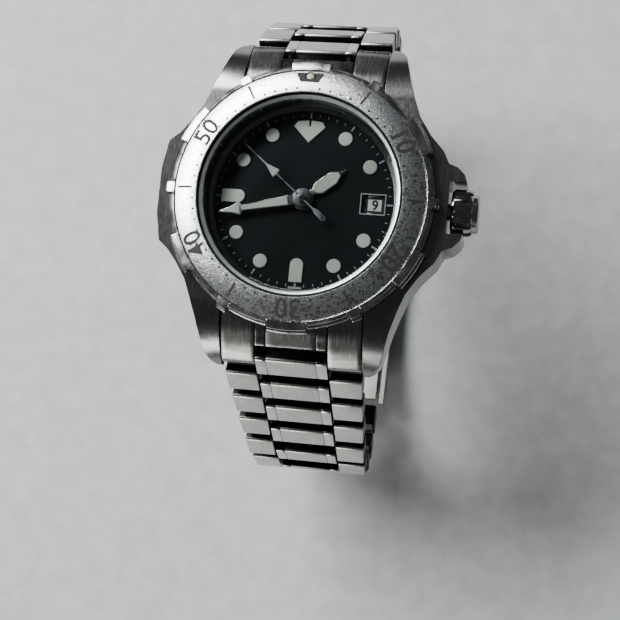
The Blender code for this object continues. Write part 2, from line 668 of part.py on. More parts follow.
def make_link(name, look, pivot, slope, sign, width):
    """A link: a middle block round its front pivot, two side blocks round the next, and a web between."""
    column = column_half(width)
    half = LINK_THICK / 2
    inwards = 1 if sign < 0 else -1
    turn = math.radians(180 + slope) if sign < 0 else math.radians(-slope)
    place = {"location": (0, *pivot), "turn_x": turn}
    middle = bmesh.new()
    prism(middle, rounded_block(*MIDDLE_SPAN, half, LINK_CORNER), -column, column, "X")
    link = finished_object(name, middle, look["brushed"], **place)
    web = bmesh.new()
    web_half = width / 2 - 0.3
    low, high = sorted((inwards * (half - 0.1), inwards * 0.1))
    prism(web, box_outline(*WEB_SPAN, low, high), -web_half, web_half, "X")
    combine(link, finished_object(f"{name}_web", web, look["brushed"], **place), "UNION")
    for side in (-1, 1):
        reach = sorted((side * (column + JOINT_GAP), side * width / 2))
        block = bmesh.new()
        prism(block, rounded_block(*SIDE_SPAN, half, LINK_CORNER), *reach, "X")
        combine(link, finished_object(f"{name}_block_{side}", block, look["brushed"], **place), "UNION")


def make_bracelet_side(look, label, slopes, sign):
    pivots = chain(slopes, sign)
    for number, (pivot, slope) in enumerate(zip(pivots, slopes)):
        width = link_width(number, len(slopes))
        make_link(f"link_{label}_{number + 1}", look, pivot, slope, sign, width)
    return pivots[-1]


def make_end_link(look, name, sign):
    """The piece between the lugs: it hugs the case, and its middle stops short of its two ears."""
    half = WIDTH_AT_CASE / 2
    column = column_half(WIDTH_AT_CASE) + JOINT_GAP
    inner_radius = SLOT_RADIUS + 0.25
    start = math.degrees(math.acos(half / inner_radius))
    outline = arc(inner_radius, 180 - start, start, 12)
    outline += [(half, EAR_END), (column, EAR_END), (column, 21.0), (-column, 21.0), (-column, EAR_END)]
    outline += [(-half, EAR_END)]
    link = prism_object(name, look["brushed"], [(x, sign * y) for x, y in outline], 0.5, 9)
    side = [(sign * y, z) for y, z in END_LINK_SIDE]
    combine(link, prism_object(f"{name}_side_shape", look["brushed"], side, -12, 12, "X"), "INTERSECT")
    bar = ((0, -12), (0.85, -12), (0.85, 12), (0, 12))
    centre = (0, sign * BAR_Y, BAR_Z)
    tool = ring_object(f"{name}_bar_hole", look["brushed"], bar, 12, along="X", centre=centre)
    combine(link, tool, "DIFFERENCE")
    cove = ((0, -column), (1.7, -column), (1.7, column), (0, column))
    centre = (0, sign * FIRST_PIVOT[0], FIRST_PIVOT[1])
    tool = ring_object(f"{name}_cove", look["brushed"], cove, 24, along="X", centre=centre)
    combine(link, tool, "DIFFERENCE")


# ---------------------------------------------------------------- clasp


class ClaspArc:
    """Places a point by its distance along the clasp's arc and its height outside the pivots' line."""

    def __init__(self, start, end):
        start, end = Vector(start), Vector(end)
        chord = (end - start).length
        self.radius = (chord * chord / 4 + CLASP_SAG * CLASP_SAG) / (2 * CLASP_SAG)
        along = (end - start) / chord
        outwards = Vector((along.y, -along.x))
        if outwards.y > 0:
            outwards = -outwards
        self.centre = (start + end) / 2 + outwards * (CLASP_SAG - self.radius)
        from_centre = start - self.centre
        self.start = math.atan2(from_centre.y, from_centre.x)
        self.length = 2 * self.radius * math.asin(chord / 2 / self.radius)
        self.sense = 1 if along.x > 0 else -1

    def point(self, distance, height):
        angle = self.start + self.sense * distance / self.radius
        reach = self.radius + height
        return (self.centre.x + reach * math.cos(angle), self.centre.y + reach * math.sin(angle))

    def strip(self, start, end, low, high, steps=10):
        """The side view of a bent plate."""
        marks = [start + (end - start) * step / steps for step in range(steps + 1)]
        inside = [self.point(mark, low) for mark in marks]
        return inside + [self.point(mark, high) for mark in reversed(marks)]


def bent_plate(name, look, strip, low_x, high_x):
    return prism_object(name, look, strip, low_x, high_x, "X")


def knuckle(name, look, centre, low_x, high_x):
    """A hinge knuckle about X at a (y, z) centre."""
    profile = ((0, low_x), (KNUCKLE_RADIUS, low_x), (KNUCKLE_RADIUS, high_x), (0, high_x))
    return ring_object(name, look, profile, 10, along="X", centre=(0, *centre))


def add_knuckles(piece, look, centre, spans):
    for number, (low_x, high_x) in enumerate(spans):
        name = f"{piece.name}_knuckle_{number}_{round(centre[0])}"
        combine(piece, knuckle(name, look, centre, low_x, high_x), "UNION")


def clasp_hinges(bend):
    """The pivots inside the clasp: blades at the 12 o'clock end, cover at the 6 o'clock end."""
    return bend.point(*BLADE_HINGE), bend.point(bend.length - COVER_HINGE[0], COVER_HINGE[1])


def make_clasp(look, end_12, end_6):
    """A fold-over clasp, closed: the cover is outside, then the middle blade, then the inner blade."""
    steel = look["brushed"]
    bend = ClaspArc(end_12, end_6)
    length = bend.length
    blade_hinge, cover_hinge = clasp_hinges(bend)
    side_spans = ((-BLADE_HALF, -KNUCKLE_HALF - 0.15), (KNUCKLE_HALF + 0.15, BLADE_HALF))
    middle_span = ((-KNUCKLE_HALF, KNUCKLE_HALF),)

    top = bend.strip(2.2, length - COVER_HINGE[0] + 0.2, 1.75, 2.55, 14)
    cover = bent_plate("clasp_cover", steel, top, -CLASP_HALF, CLASP_HALF)
    for side in (-1, 1):
        wall = bend.strip(0.4, length - 1.75, -0.9, 2.15, 12)
        reach = sorted((side * WALL_INNER, side * (CLASP_HALF - 0.06)))
        combine(cover, bent_plate(f"cover_wall_{side}", steel, wall, *reach), "UNION")
    post = bend.strip(length - 4.9, length - 3.6, 0.4, 1.95, 2)
    for side, span in zip((-1, 1), ((-8.5, -KNUCKLE_HALF - 0.15), (KNUCKLE_HALF + 0.15, 8.5))):
        combine(cover, bent_plate(f"cover_post_{side}", steel, post, *span), "UNION")
    add_knuckles(cover, steel, cover_hinge, side_spans)

    plate = bend.strip(BLADE_HINGE[0] + 0.3, length - 4.4, 0.3, 1.15, 12)
    middle = bent_plate("clasp_middle_blade", steel, plate, -KNUCKLE_HALF, KNUCKLE_HALF)
    shoulders = bend.strip(BLADE_HINGE[0] + 2, length - 6.2, 0.3, 1.15, 10)
    combine(middle, bent_plate("middle_shoulders", steel, shoulders, -BLADE_HALF, BLADE_HALF), "UNION")
    add_knuckles(middle, steel, blade_hinge, middle_span)
    add_knuckles(middle, steel, cover_hinge, middle_span)

    plate = bend.strip(BLADE_HINGE[0] + 2, length - 2.4, -1.25, -0.45, 12)
    inner = bent_plate("clasp_inner_blade", steel, plate, -BLADE_HALF, BLADE_HALF)
    tongue_half = column_half(WIDTH_AT_CLASP) - 0.12
    tongue = bend.strip(length - 3.2, length - 0.2, -1.05, -0.25, 2)
    combine(inner, bent_plate("inner_tongue", steel, tongue, -tongue_half, tongue_half), "UNION")
    add_knuckles(inner, steel, bend.point(length, 0), ((-tongue_half, tongue_half),))
    arm = bend.strip(BLADE_HINGE[0], BLADE_HINGE[0] + 2.8, -0.85, -0.45, 2)
    for side, span in zip((-1, 1), side_spans):
        combine(inner, bent_plate(f"inner_arm_{side}", steel, arm, *span), "UNION")
    add_knuckles(inner, steel, blade_hinge, side_spans)

    flap = bend.strip(3.2, 13.5, 2.75, 3.5, 5)
    lock = bent_plate("safety_lock", look["polished"], flap, -LOCK_HALF, LOCK_HALF)
    lip = bend.strip(12.4, 13.4, 2.85, 4.1, 1)
    combine(lock, bent_plate("lock_lip", look["polished"], lip, -3.2, 3.2), "UNION")
    seat_origin("clasp_cover", (0, *cover_hinge))
    seat_origin("clasp_middle_blade", (0, *blade_hinge))
    seat_origin("clasp_inner_blade", (0, *end_6))
    seat_origin("safety_lock", (0, *bend.point(*LOCK_HINGE)))


# ---------------------------------------------------------------- assembly


def build():
    for item in list(bpy.data.objects):
        bpy.data.objects.remove(item, do_unlink=True)
    look = make_finishes()
    make_case(look)
    make_case_back(look)
    make_dial_side(look)
    make_spring_bars(look)
    make_bezel(look)
    make_crown(look)
    make_hands(look)
    make_motion_works(look)
    make_train(look)
    make_movement(look)
    make_end_link(look, "end_link_12", 1)
    make_end_link(look, "end_link_6", -1)
    end_12 = make_bracelet_side(look, "12", SLOPES_12, 1)
    end_6 = make_bracelet_side(look, "6", SLOPES_6, -1)
    make_clasp(look, end_12, end_6)


build()
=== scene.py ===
"""The looks of a steel diver's wristwatch.

Lengths are in millimetres until MM turns them into metres. +Z leaves through the dial, +Y points to
12 o'clock and +X to the crown, as in the frame. Clock angles are in degrees, clockwise from 12.
"""

import json
import math

import bmesh
import bpy
import numpy as np
from mathutils import Euler, Matrix, Vector

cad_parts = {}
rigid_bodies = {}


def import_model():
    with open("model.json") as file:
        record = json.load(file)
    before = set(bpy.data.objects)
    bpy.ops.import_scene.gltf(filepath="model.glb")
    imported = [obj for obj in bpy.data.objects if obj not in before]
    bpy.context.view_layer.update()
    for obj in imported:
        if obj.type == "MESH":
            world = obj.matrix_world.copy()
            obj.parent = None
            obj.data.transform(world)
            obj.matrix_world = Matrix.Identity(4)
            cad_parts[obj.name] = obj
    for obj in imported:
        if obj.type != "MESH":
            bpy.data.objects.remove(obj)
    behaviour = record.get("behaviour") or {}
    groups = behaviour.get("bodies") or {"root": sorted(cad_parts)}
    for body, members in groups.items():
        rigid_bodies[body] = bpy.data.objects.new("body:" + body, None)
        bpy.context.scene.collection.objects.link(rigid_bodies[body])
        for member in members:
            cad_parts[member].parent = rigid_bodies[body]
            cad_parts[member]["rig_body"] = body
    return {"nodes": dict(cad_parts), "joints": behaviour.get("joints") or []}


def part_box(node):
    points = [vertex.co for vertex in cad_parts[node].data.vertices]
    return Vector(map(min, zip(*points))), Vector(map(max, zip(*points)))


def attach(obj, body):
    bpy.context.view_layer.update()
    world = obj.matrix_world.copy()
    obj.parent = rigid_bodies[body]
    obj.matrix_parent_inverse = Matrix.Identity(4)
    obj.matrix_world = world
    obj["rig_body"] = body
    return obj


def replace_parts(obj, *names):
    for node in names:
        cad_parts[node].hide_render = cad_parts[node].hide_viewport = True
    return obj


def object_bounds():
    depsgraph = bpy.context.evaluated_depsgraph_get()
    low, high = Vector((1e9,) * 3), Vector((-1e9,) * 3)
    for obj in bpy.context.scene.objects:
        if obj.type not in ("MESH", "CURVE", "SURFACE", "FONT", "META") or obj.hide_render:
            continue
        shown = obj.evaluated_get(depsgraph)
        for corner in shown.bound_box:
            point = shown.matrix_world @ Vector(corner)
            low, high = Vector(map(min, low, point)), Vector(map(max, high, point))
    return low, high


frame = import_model()
cad_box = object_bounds()

MM = 0.001
TURN = 360.0


def foot(node, axis=2):
    """Lowest coordinate of a CAD node in millimetres, along +Z unless another axis is asked for."""
    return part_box(node)[0][axis] / MM


def top(node, axis=2):
    """Highest coordinate of a CAD node in millimetres, along +Z unless another axis is asked for."""
    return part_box(node)[1][axis] / MM


def outer_radius(node):
    """Outer radius of a CAD node that is round about its own middle: half its width along X."""
    return (top(node, 0) - foot(node, 0)) / 2


def joint_place(name):
    """Where a joint stands at rest, in millimetres."""
    found = next(joint for joint in frame["joints"] if joint["name"] == name)
    return np.array(found["pos_m"]) / MM


# Camera and studio
CAMERA_PLACE = (31.85, -36.69, 183.17)
CAMERA_TILT = (7.683, 8.759, 5.572)
CAMERA_VIEW = 26.8
FLOOR_HALF = 1500.0
WINDOW_PLACE = (-330, 250, 385)
FRONT_PLACE = (-200, -470, 150)
ROOM_LIGHT = 0.05

# Bezel and its insert
BEZEL_LOW = foot("bezel")
RIM_TOP = top("bezel")
BLOCK_PROUD = 0.65
ARC_RADIUS = outer_radius("bezel") - BLOCK_PROUD
BEZEL_BORE = 15.5
FLANGE_TOP = BEZEL_LOW + 0.95
RIM_INNER = 17.62
TIER_STEP = 0.35
BLOCK_HALF = 8.5
TAB_HALF = 2.3
INSERT_THICK = 0.6
INSERT_INNER = (14.3, top("bezel_insert"))
INSERT_OUTER = (outer_radius("bezel_insert"), foot("bezel_insert") + INSERT_THICK)
SUNK = -0.06
PIP_RADIUS = outer_radius("bezel_pip")
PIP_PLACE = top("bezel_pip", 1) - PIP_RADIUS

# Dial
DIAL_TOP = top("dial")
PRINT_THICK = 0.02
DOT_PLACE = 10.43
DOT_RADIUS = 1.0
TICK_PLACE = 12.2
DATE_X = 9.85
DATE_OPENING = (3.3, 2.7)
DATE_LEVEL = top("date_ring")
SHOWN_DAY = 9

# Hands
HOUR_CLOCK = 51.43
MINUTE_CLOCK = 257.2
SECONDS_CLOCK = 309.6

# Crown
CROWN_FACE = foot("crown", 0)
CROWN_Z = joint_place("crown_turn")[2]

# Bracelet
PITCH = 6.0
LINK_THICK = 2.8
LAST_SLOPE_12 = 146.0
WIDTH_AT_CASE = top("end_link_12", 0) - foot("end_link_12", 0)
WIDTH_AT_CLASP = 16.5
MIDDLE_SHARE = 0.515
STRIP_SHARE = 0.3
JOINT_GAP = 0.12
MIDDLE_SPAN = (-1.2, 2.8)
SIDE_SPAN = (2.7, 7.15)
WEB_SPAN = (1.75, 4.25)
SLOT_RADIUS = 18.25
EAR_END = top("end_link_12", 1)
MIDDLE_END = 21.0
END_FOOT = 1.6
END_NOSE = 0.35
END_WAIST = 2.5
END_TOP = ((14.0, 7.7), (15.5, 7.55), (18.6, 6.6), (20.8, 5.4), (22.4, 4.3), (EAR_END, 3.4))

# Sockets of a colour Mix node, whose names repeat for each data type
MIX_DARK, MIX_LIGHT, MIX_RESULT = 6, 7, 2
# Near-black colour painted into the gaps between bracelet links as shade
PAINTED_GAP_SHADE = (0.012, 0.012, 0.012)


# ---------------------------------------------------------------- surfaces


def polar(radius, clock):
    """x and y of points at a radius and a clock angle: r sin a, r cos a."""
    angle = np.radians(clock)
    return radius * np.sin(angle), radius * np.cos(angle)


def sweep(sections, closed=False):
    """Joins closed sections, an array (sections, points, 3), by quads: point p of section s to point p + 1 of
    section s + 1. An open sweep gets a flat cap on each end. A closed one returns to its first section."""
    rows, columns = sections.shape[:2]
    index = np.arange(rows * columns).reshape(rows, columns)
    low = index if closed else index[:-1]
    high = np.roll(index, -1, 0) if closed else index[1:]
    quads = np.stack([low, np.roll(low, -1, 1), np.roll(high, -1, 1), high], -1).reshape(-1, 4)
    faces = quads.tolist()
    if not closed:
        faces += [index[0].tolist(), index[-1].tolist()]
    return sections.reshape(-1, 3), faces


def turned_ring(profile, segments=240):
    """A closed (radius, height) profile turned about +Z: x = r sin a, y = r cos a, z = h."""
    radius, height = np.asarray(profile, float).T
    x, y = polar(radius, np.arange(segments)[:, None] * TURN / segments)
    return sweep(np.stack([x, y, np.broadcast_to(height, x.shape)], -1), closed=True)


def turned_solid(profile, segments=48, centre=(0, 0)):
    """An open (radius, height) profile turned about +Z into a solid with flat ends."""
    radius, height = np.asarray(profile, float).T
    x, y = polar(radius[:, None], np.arange(segments) * TURN / segments)
    z = np.broadcast_to(height[:, None], x.shape)
    return sweep(np.stack([x + centre[0], y + centre[1], z], -1))


def inset(outline, amount):
    """Moves each side of an outline inwards by amount: corner + amount (n1 + n2) / (1 + n1 . n2), where n1
    and n2 are the inward normals of the corner's two sides."""
    before = outline - np.roll(outline, 1, 0)
    after = np.roll(outline, -1, 0) - outline
    before /= np.linalg.norm(before, axis=1)[:, None]
    after /= np.linalg.norm(after, axis=1)[:, None]
    x, y = outline.T
    area = np.sum(x * np.roll(y, -1) - np.roll(x, -1) * y)
    left = np.stack([-(before + after)[:, 1], (before + after)[:, 0]], -1)
    share = np.maximum(1 + np.sum(before * after, 1), 0.35)
    return outline + np.sign(area) * amount * left / share[:, None]


def plate(outline, low, high, edge=0.0):
    """A flat outline raised from low to high, with its top edge cut back by edge: one section a level."""
    outline = np.asarray(outline, float)
    levels = [(outline, low), (outline, high - edge)]
    if edge:
        levels.append((inset(outline, edge), high))
    sections = [np.column_stack([shape, np.full(len(shape), level)]) for shape, level in levels]
    return sweep(np.array(sections))


def crowned_plate(outline, low, high, edge):
    """A plate whose top edge is round: it is cut back by edge (1 - cos t) as it rises by edge sin t."""
    outline = np.asarray(outline, float)
    levels = [(outline, low)]
    for t in np.linspace(0, math.pi / 2, 5):
        levels.append((inset(outline, edge * (1 - math.cos(t))), high - edge + edge * math.sin(t)))
    sections = [np.column_stack([shape, np.full(len(shape), level)]) for shape, level in levels]
    return sweep(np.array(sections))


def disc(radius, centre, steps=40):
    """A round outline about a centre: x = r sin a, y = r cos a, in equal steps."""
    x, y = polar(radius, np.arange(steps) * TURN / steps)
    return np.stack([x + centre[0], y + centre[1]], -1)


def rectangle(low_x, high_x, low_y, high_y):
    """The four corners of a rectangle, anticlockwise."""
    return np.array([(low_x, low_y), (high_x, low_y), (high_x, high_y), (low_x, high_y)], float)


def spun(outline, clock):
    """Turns an outline drawn towards 12 o'clock to a clock angle: x cos a + y sin a, y cos a - x sin a."""
    cosine, sine = math.cos(math.radians(clock)), math.sin(math.radians(clock))
    x, y = np.asarray(outline, float).T
    return np.stack([x * cosine + y * sine, y * cosine - x * sine], -1)


def mirrored(half):
    """Completes an outline from its right half, listed from bottom to top: (x, y), then (-x, y) back down."""
    half = np.asarray(half, float)
    return np.concatenate([half, half[::-1] * (-1, 1)])


def together(shapes):
    """Several closed shapes as one list of points and one list of faces."""
    points, faces, count = [], [], 0
    for shape_points, shape_faces in shapes:
        points.append(shape_points)
        faces += [[corner + count for corner in face] for face in shape_faces]
        count += len(shape_points)
    return np.concatenate(points), faces


def make_piece(name, shape, body, material, sharp=30.0):
    """Builds a mesh in metres from a shape in millimetres, faces outwards, and lets it ride on a body."""
    points, faces = shape
    mesh = bpy.data.meshes.new(name)
    mesh.from_pydata((np.asarray(points) * MM).tolist(), [], faces)
    bm = bmesh.new()
    bm.from_mesh(mesh)
    bmesh.ops.recalc_face_normals(bm, faces=bm.faces)
    bm.to_mesh(mesh)
    bm.free()
    return settle(bpy.data.objects.new(name, mesh), body, material, sharp)


def mark_exposure(piece, pivot, slope, sign):
    """Stores each point's height above the pivots' line: (point - pivot) . outward / (thickness / 2). The
    link finishes paint near-black shade where it is low, in the gaps between links.
    """
    count = len(piece.data.vertices)
    points = np.empty(count * 3)
    piece.data.vertices.foreach_get("co", points)
    angle = math.radians(slope)
    outward = np.array([0, sign * math.sin(angle), math.cos(angle)])
    height = (points.reshape(-1, 3) / MM - np.array([0, *pivot])) @ outward / (LINK_THICK / 2)
    piece.data.attributes.new("height_above_pivots", "FLOAT", "POINT").data.foreach_set("value", height)


def settle(piece, body, material, sharp):
    """Shades a piece, gives it its material and lets it ride on a body."""
    piece.data.shade_smooth()
    piece.data.set_sharp_from_angle(angle=math.radians(sharp))
    piece.data.materials.clear()
    piece.data.materials.append(material)
    bpy.context.scene.collection.objects.link(piece)
    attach(piece, body)
    return piece


def refined(node, material, edge):
    """A copy of a CAD node with its points merged and its corners over 38 degrees rounded by edge."""
    source = frame["nodes"][node]
    mesh = source.data.copy()
    bm = bmesh.new()
    bm.from_mesh(mesh)
    bmesh.ops.remove_doubles(bm, verts=bm.verts, dist=1e-6)
    bmesh.ops.dissolve_limit(bm, angle_limit=math.radians(0.5), verts=bm.verts, edges=bm.edges)
    bm.to_mesh(mesh)
    bm.free()
    copy = bpy.data.objects.new(f"{node}_surface", mesh)
    piece = settle(copy, source["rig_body"], material, 30)
    rounding = piece.modifiers.new("edge", "BEVEL")
    rounding.width = edge * MM
    rounding.segments = 2
    rounding.limit_method = "ANGLE"
    rounding.angle_limit = math.radians(38)
    rounding.harden_normals = True
    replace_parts(piece, node)
    return piece


# ---------------------------------------------------------------- materials


class Recipe:
    """A material under construction, with short ways to add nodes that read Object coordinates."""

    def __init__(self, name, colour, roughness, metallic):
        """An even finish, for the other ways to build on."""
        self.material = bpy.data.materials.new(name)
        self.material.use_nodes = True
        self.nodes = self.material.node_tree.nodes
        self.links = self.material.node_tree.links
        self.shader = self.nodes["Principled BSDF"]
        self.shader.inputs["Base Color"].default_value = (*colour, 1)
        self.shader.inputs["Roughness"].default_value = roughness
        self.shader.inputs["Metallic"].default_value = metallic
        self.place = self.nodes.new("ShaderNodeTexCoord").outputs["Object"]

    def stretched(self, scale):
        """Object coordinates in metres times a scale for each axis."""
        mapping = self.nodes.new("ShaderNodeMapping")
        mapping.inputs["Scale"].default_value = scale
        self.links.new(self.place, mapping.inputs["Vector"])
        return mapping.outputs["Vector"]

    def noise(self, scale, detail=4.0, roughness=0.6):
        """Soft noise from 0 to 1, with scale features a metre along each axis."""
        texture = self.nodes.new("ShaderNodeTexNoise")
        texture.inputs["Scale"].default_value = 1.0
        texture.inputs["Detail"].default_value = detail
        texture.inputs["Roughness"].default_value = roughness
        self.links.new(self.stretched(scale), texture.inputs["Vector"])
        return texture.outputs["Fac"]

    def cell_edges(self, scale):
        """Distance to the nearest border between random cells."""
        texture = self.nodes.new("ShaderNodeTexVoronoi")
        texture.feature = "DISTANCE_TO_EDGE"
        texture.inputs["Scale"].default_value = 1.0
        self.links.new(self.stretched(scale), texture.inputs["Vector"])
        return texture.outputs["Distance"]

    def ranged(self, value, low, high, out_low, out_high):
        """Carries low..high to out_low..out_high, and holds it there outside."""
        node = self.nodes.new("ShaderNodeMapRange")
        levels = {"From Min": low, "From Max": high, "To Min": out_low, "To Max": out_high}
        for socket, level in levels.items():
            node.inputs[socket].default_value = level
        self.links.new(value, node.inputs["Value"])
        return node.outputs["Result"]

    def maths(self, operation, first, second):
        """Joins two sockets by a Math node."""
        node = self.nodes.new("ShaderNodeMath")
        node.operation = operation
        self.links.new(first, node.inputs[0])
        self.links.new(second, node.inputs[1])
        return node.outputs["Value"]

    def exposed(self, value):
        """Carries a value to 0.75..1 and holds it at 0 where the piece's height above its pivots is low:
        painted shade in the gaps between links, while the outer faces keep their grain."""
        node = self.nodes.new("ShaderNodeAttribute")
        node.attribute_name = "height_above_pivots"
        outside_gap_shade = self.ranged(node.outputs["Fac"], 0.72, 0.97, 0, 1)
        return self.maths("MULTIPLY", self.ranged(value, 0, 1, 0.75, 1), outside_gap_shade)

    def coloured(self, value, dark, light):
        """The base colour, mixed from dark to light by value."""
        node = self.nodes.new("ShaderNodeMix")
        node.data_type = "RGBA"
        self.links.new(value, node.inputs["Factor"])
        node.inputs[MIX_DARK].default_value = (*dark, 1)
        node.inputs[MIX_LIGHT].default_value = (*light, 1)
        self.links.new(node.outputs[MIX_RESULT], self.shader.inputs["Base Color"])

    def rough(self, value):
        """The roughness, straight from value."""
        self.links.new(value, self.shader.inputs["Roughness"])

    def bumped(self, value, strength, depth):
        """Relief that rises with value, depth millimetres deep."""
        node = self.nodes.new("ShaderNodeBump")
        node.inputs["Strength"].default_value = strength
        node.inputs["Distance"].default_value = depth * MM
        self.links.new(value, node.inputs["Height"])
        self.links.new(node.outputs["Normal"], self.shader.inputs["Normal"])


def brushed_steel(name, colour, grain, smooth=0.26, dull=0.42, relief=0.35, contrast=0.28, paint_gap_shade=False):
    """Steel with fine lines: noise that is short across the brushing and long along it. The gap flag paints
    near-black shade where the piece sits low between its pivots, in the gaps between links."""
    recipe = Recipe(name, colour, smooth, 1)
    lines = recipe.noise(grain, 3.0, 0.7)
    stains = recipe.noise((400, 400, 400), 3.0)
    dark = tuple((1 - contrast) * channel for channel in colour)
    light = recipe.ranged(recipe.maths("MULTIPLY", lines, stains), 0.12, 0.36, 0, 1)
    if paint_gap_shade:
        light = recipe.exposed(light)
        # Painted shade: near-black where the piece sits low between its pivots
        dark = PAINTED_GAP_SHADE
    recipe.coloured(light, dark, colour)
    recipe.rough(recipe.ranged(lines, 0.3, 0.7, smooth, dull))
    recipe.bumped(lines, relief, 0.012)
    return recipe.material


def polished_steel(name, colour, roughness=0.1, paint_gap_shade=False):
    """Bright steel with a few fine scratches and faint smears. The gap flag paints near-black shade in the
    gaps between links.
    """
    recipe = Recipe(name, colour, roughness, 1)
    smears = recipe.noise((500, 420, 460), 5.0)
    scratches = recipe.noise((5200, 700, 900), 2.0)
    light = recipe.ranged(smears, 0.35, 0.65, 0, 1)
    dark = tuple(0.85 * c for c in colour)
    if paint_gap_shade:
        light = recipe.exposed(light)
        # Painted shade: near-black where the piece sits low between its pivots
        dark = PAINTED_GAP_SHADE
    recipe.coloured(light, dark, colour)
    recipe.rough(recipe.ranged(smears, 0.3, 0.7, roughness * 0.6, roughness * 1.8))
    recipe.bumped(scratches, 0.08, 0.01)
    return recipe.material


def worn_insert(name):
    """Satin steel that years of knocks have pitted: dark pits and bright scuffs, most towards the crown and 6
    o'clock, partly wear and partly painted shade. Pits are where blotches times fine noise is high, and
    scuffs where two crossed, stretched noises are."""
    recipe = Recipe(name, (0.8, 0.81, 0.82), 0.3, 1)
    split = recipe.nodes.new("ShaderNodeSeparateXYZ")
    recipe.links.new(recipe.place, split.inputs["Vector"])
    towards_crown = recipe.maths("SUBTRACT", split.outputs["X"], split.outputs["Y"])
    # More pits towards the crown and 6 o'clock: partly wear, partly painted shade on the side away from the
    # window light
    wear_and_painted_shade = recipe.ranged(towards_crown, -0.014, 0.014, -0.03, 0.045)
    blotches = recipe.noise((1100, 1100, 1100), 6.0, 0.8)
    pits = recipe.noise((2300, 2300, 2300), 4.0, 0.8)
    marked = recipe.maths("ADD", recipe.maths("MULTIPLY", blotches, pits), wear_and_painted_shade)
    across = recipe.noise((4200, 1100, 4200), 5.0, 0.7)
    along = recipe.noise((1100, 3600, 1100), 5.0, 0.7)
    scratched = recipe.maths("MULTIPLY", across, along)
    marked = recipe.maths("SUBTRACT", marked, recipe.ranged(scratched, 0.25, 0.3, 0.0, 0.14))
    clean = recipe.ranged(marked, 0.24, 0.34, 1.0, 0.0)
    recipe.coloured(clean, (0.22, 0.215, 0.21), (0.96, 0.97, 0.98))
    recipe.rough(recipe.ranged(marked, 0.25, 0.45, 0.26, 0.36))
    recipe.bumped(recipe.maths("ADD", blotches, pits), 0.55, 0.05)
    return recipe.material


def grained(name, colour, roughness, metallic=0.0, grain=2500.0, depth=0.01, spread=0.85):
    """A plain finish with fine grain in its colour, its gloss and its relief."""
    recipe = Recipe(name, colour, roughness, metallic)
    fine = recipe.noise((grain, grain, grain), 4.0)
    recipe.coloured(recipe.ranged(fine, 0.35, 0.65, 0, 1), tuple(spread * c for c in colour), colour)
    recipe.rough(recipe.ranged(fine, 0.3, 0.7, roughness * 0.85, min(1.0, roughness * 1.15)))
    recipe.bumped(fine, 0.3, depth)
    return recipe.material


def matt_dial(name):
    """Flat blue-black paint with hardly any shine."""
    recipe = Recipe(name, (0.009, 0.0105, 0.013), 0.6, 0)
    recipe.shader.inputs["Specular IOR Level"].default_value = 0.12
    fine = recipe.noise((9000, 9000, 9000), 3.0)
    recipe.coloured(recipe.ranged(fine, 0.35, 0.65, 0, 1), (0.0075, 0.009, 0.011), (0.0105, 0.0125, 0.015))
    recipe.bumped(fine, 0.2, 0.004)
    return recipe.material


def clear_glass(name):
    """Flat glass that lets light through unbent and mirrors a little of it, more at a low angle."""
    recipe = Recipe(name, (1, 1, 1), 0.02, 0)
    recipe.nodes.remove(recipe.shader)
    through = recipe.nodes.new("ShaderNodeBsdfTransparent")
    through.inputs["Color"].default_value = (0.97, 0.98, 0.98, 1)
    mirror = recipe.nodes.new("ShaderNodeBsdfGlossy")
    mirror.inputs["Roughness"].default_value = 0.02
    fresnel = recipe.nodes.new("ShaderNodeFresnel")
    fresnel.inputs["IOR"].default_value = 1.45
    smear = recipe.ranged(recipe.noise((300, 300, 300), 3.0), 0.3, 0.7, 0.55, 1.0)
    share = recipe.maths("MULTIPLY", fresnel.outputs["Fac"], smear)
    mix = recipe.nodes.new("ShaderNodeMixShader")
    recipe.links.new(share, mix.inputs[0])
    recipe.links.new(through.outputs[0], mix.inputs[1])
    recipe.links.new(mirror.outputs[0], mix.inputs[2])
    recipe.links.new(mix.outputs[0], recipe.nodes["Material Output"].inputs["Surface"])
    return recipe.material


def wound_copper(name):
    """Enamelled wire: rings across the coil's length."""
    recipe = Recipe(name, (0.55, 0.22, 0.1), 0.35, 1)
    turns = recipe.nodes.new("ShaderNodeTexWave")
    turns.bands_direction = "X"
    turns.inputs["Scale"].default_value = 1.0
    recipe.links.new(recipe.stretched((3200, 200, 200)), turns.inputs["Vector"])
    recipe.coloured(turns.outputs["Fac"], (0.3, 0.1, 0.04), (0.7, 0.3, 0.14))
    recipe.bumped(turns.outputs["Fac"], 0.6, 0.04)
    return recipe.material


def circuit_mask(name):
    """Green solder mask over lighter copper tracks."""
    recipe = Recipe(name, (0.02, 0.14, 0.08), 0.35, 0)
    tracks = recipe.cell_edges((1400, 1400, 300))
    recipe.coloured(recipe.ranged(tracks, 0.05, 0.12, 1, 0), (0.015, 0.12, 0.07), (0.1, 0.3, 0.12))
    recipe.bumped(tracks, 0.4, 0.03)
    return recipe.material


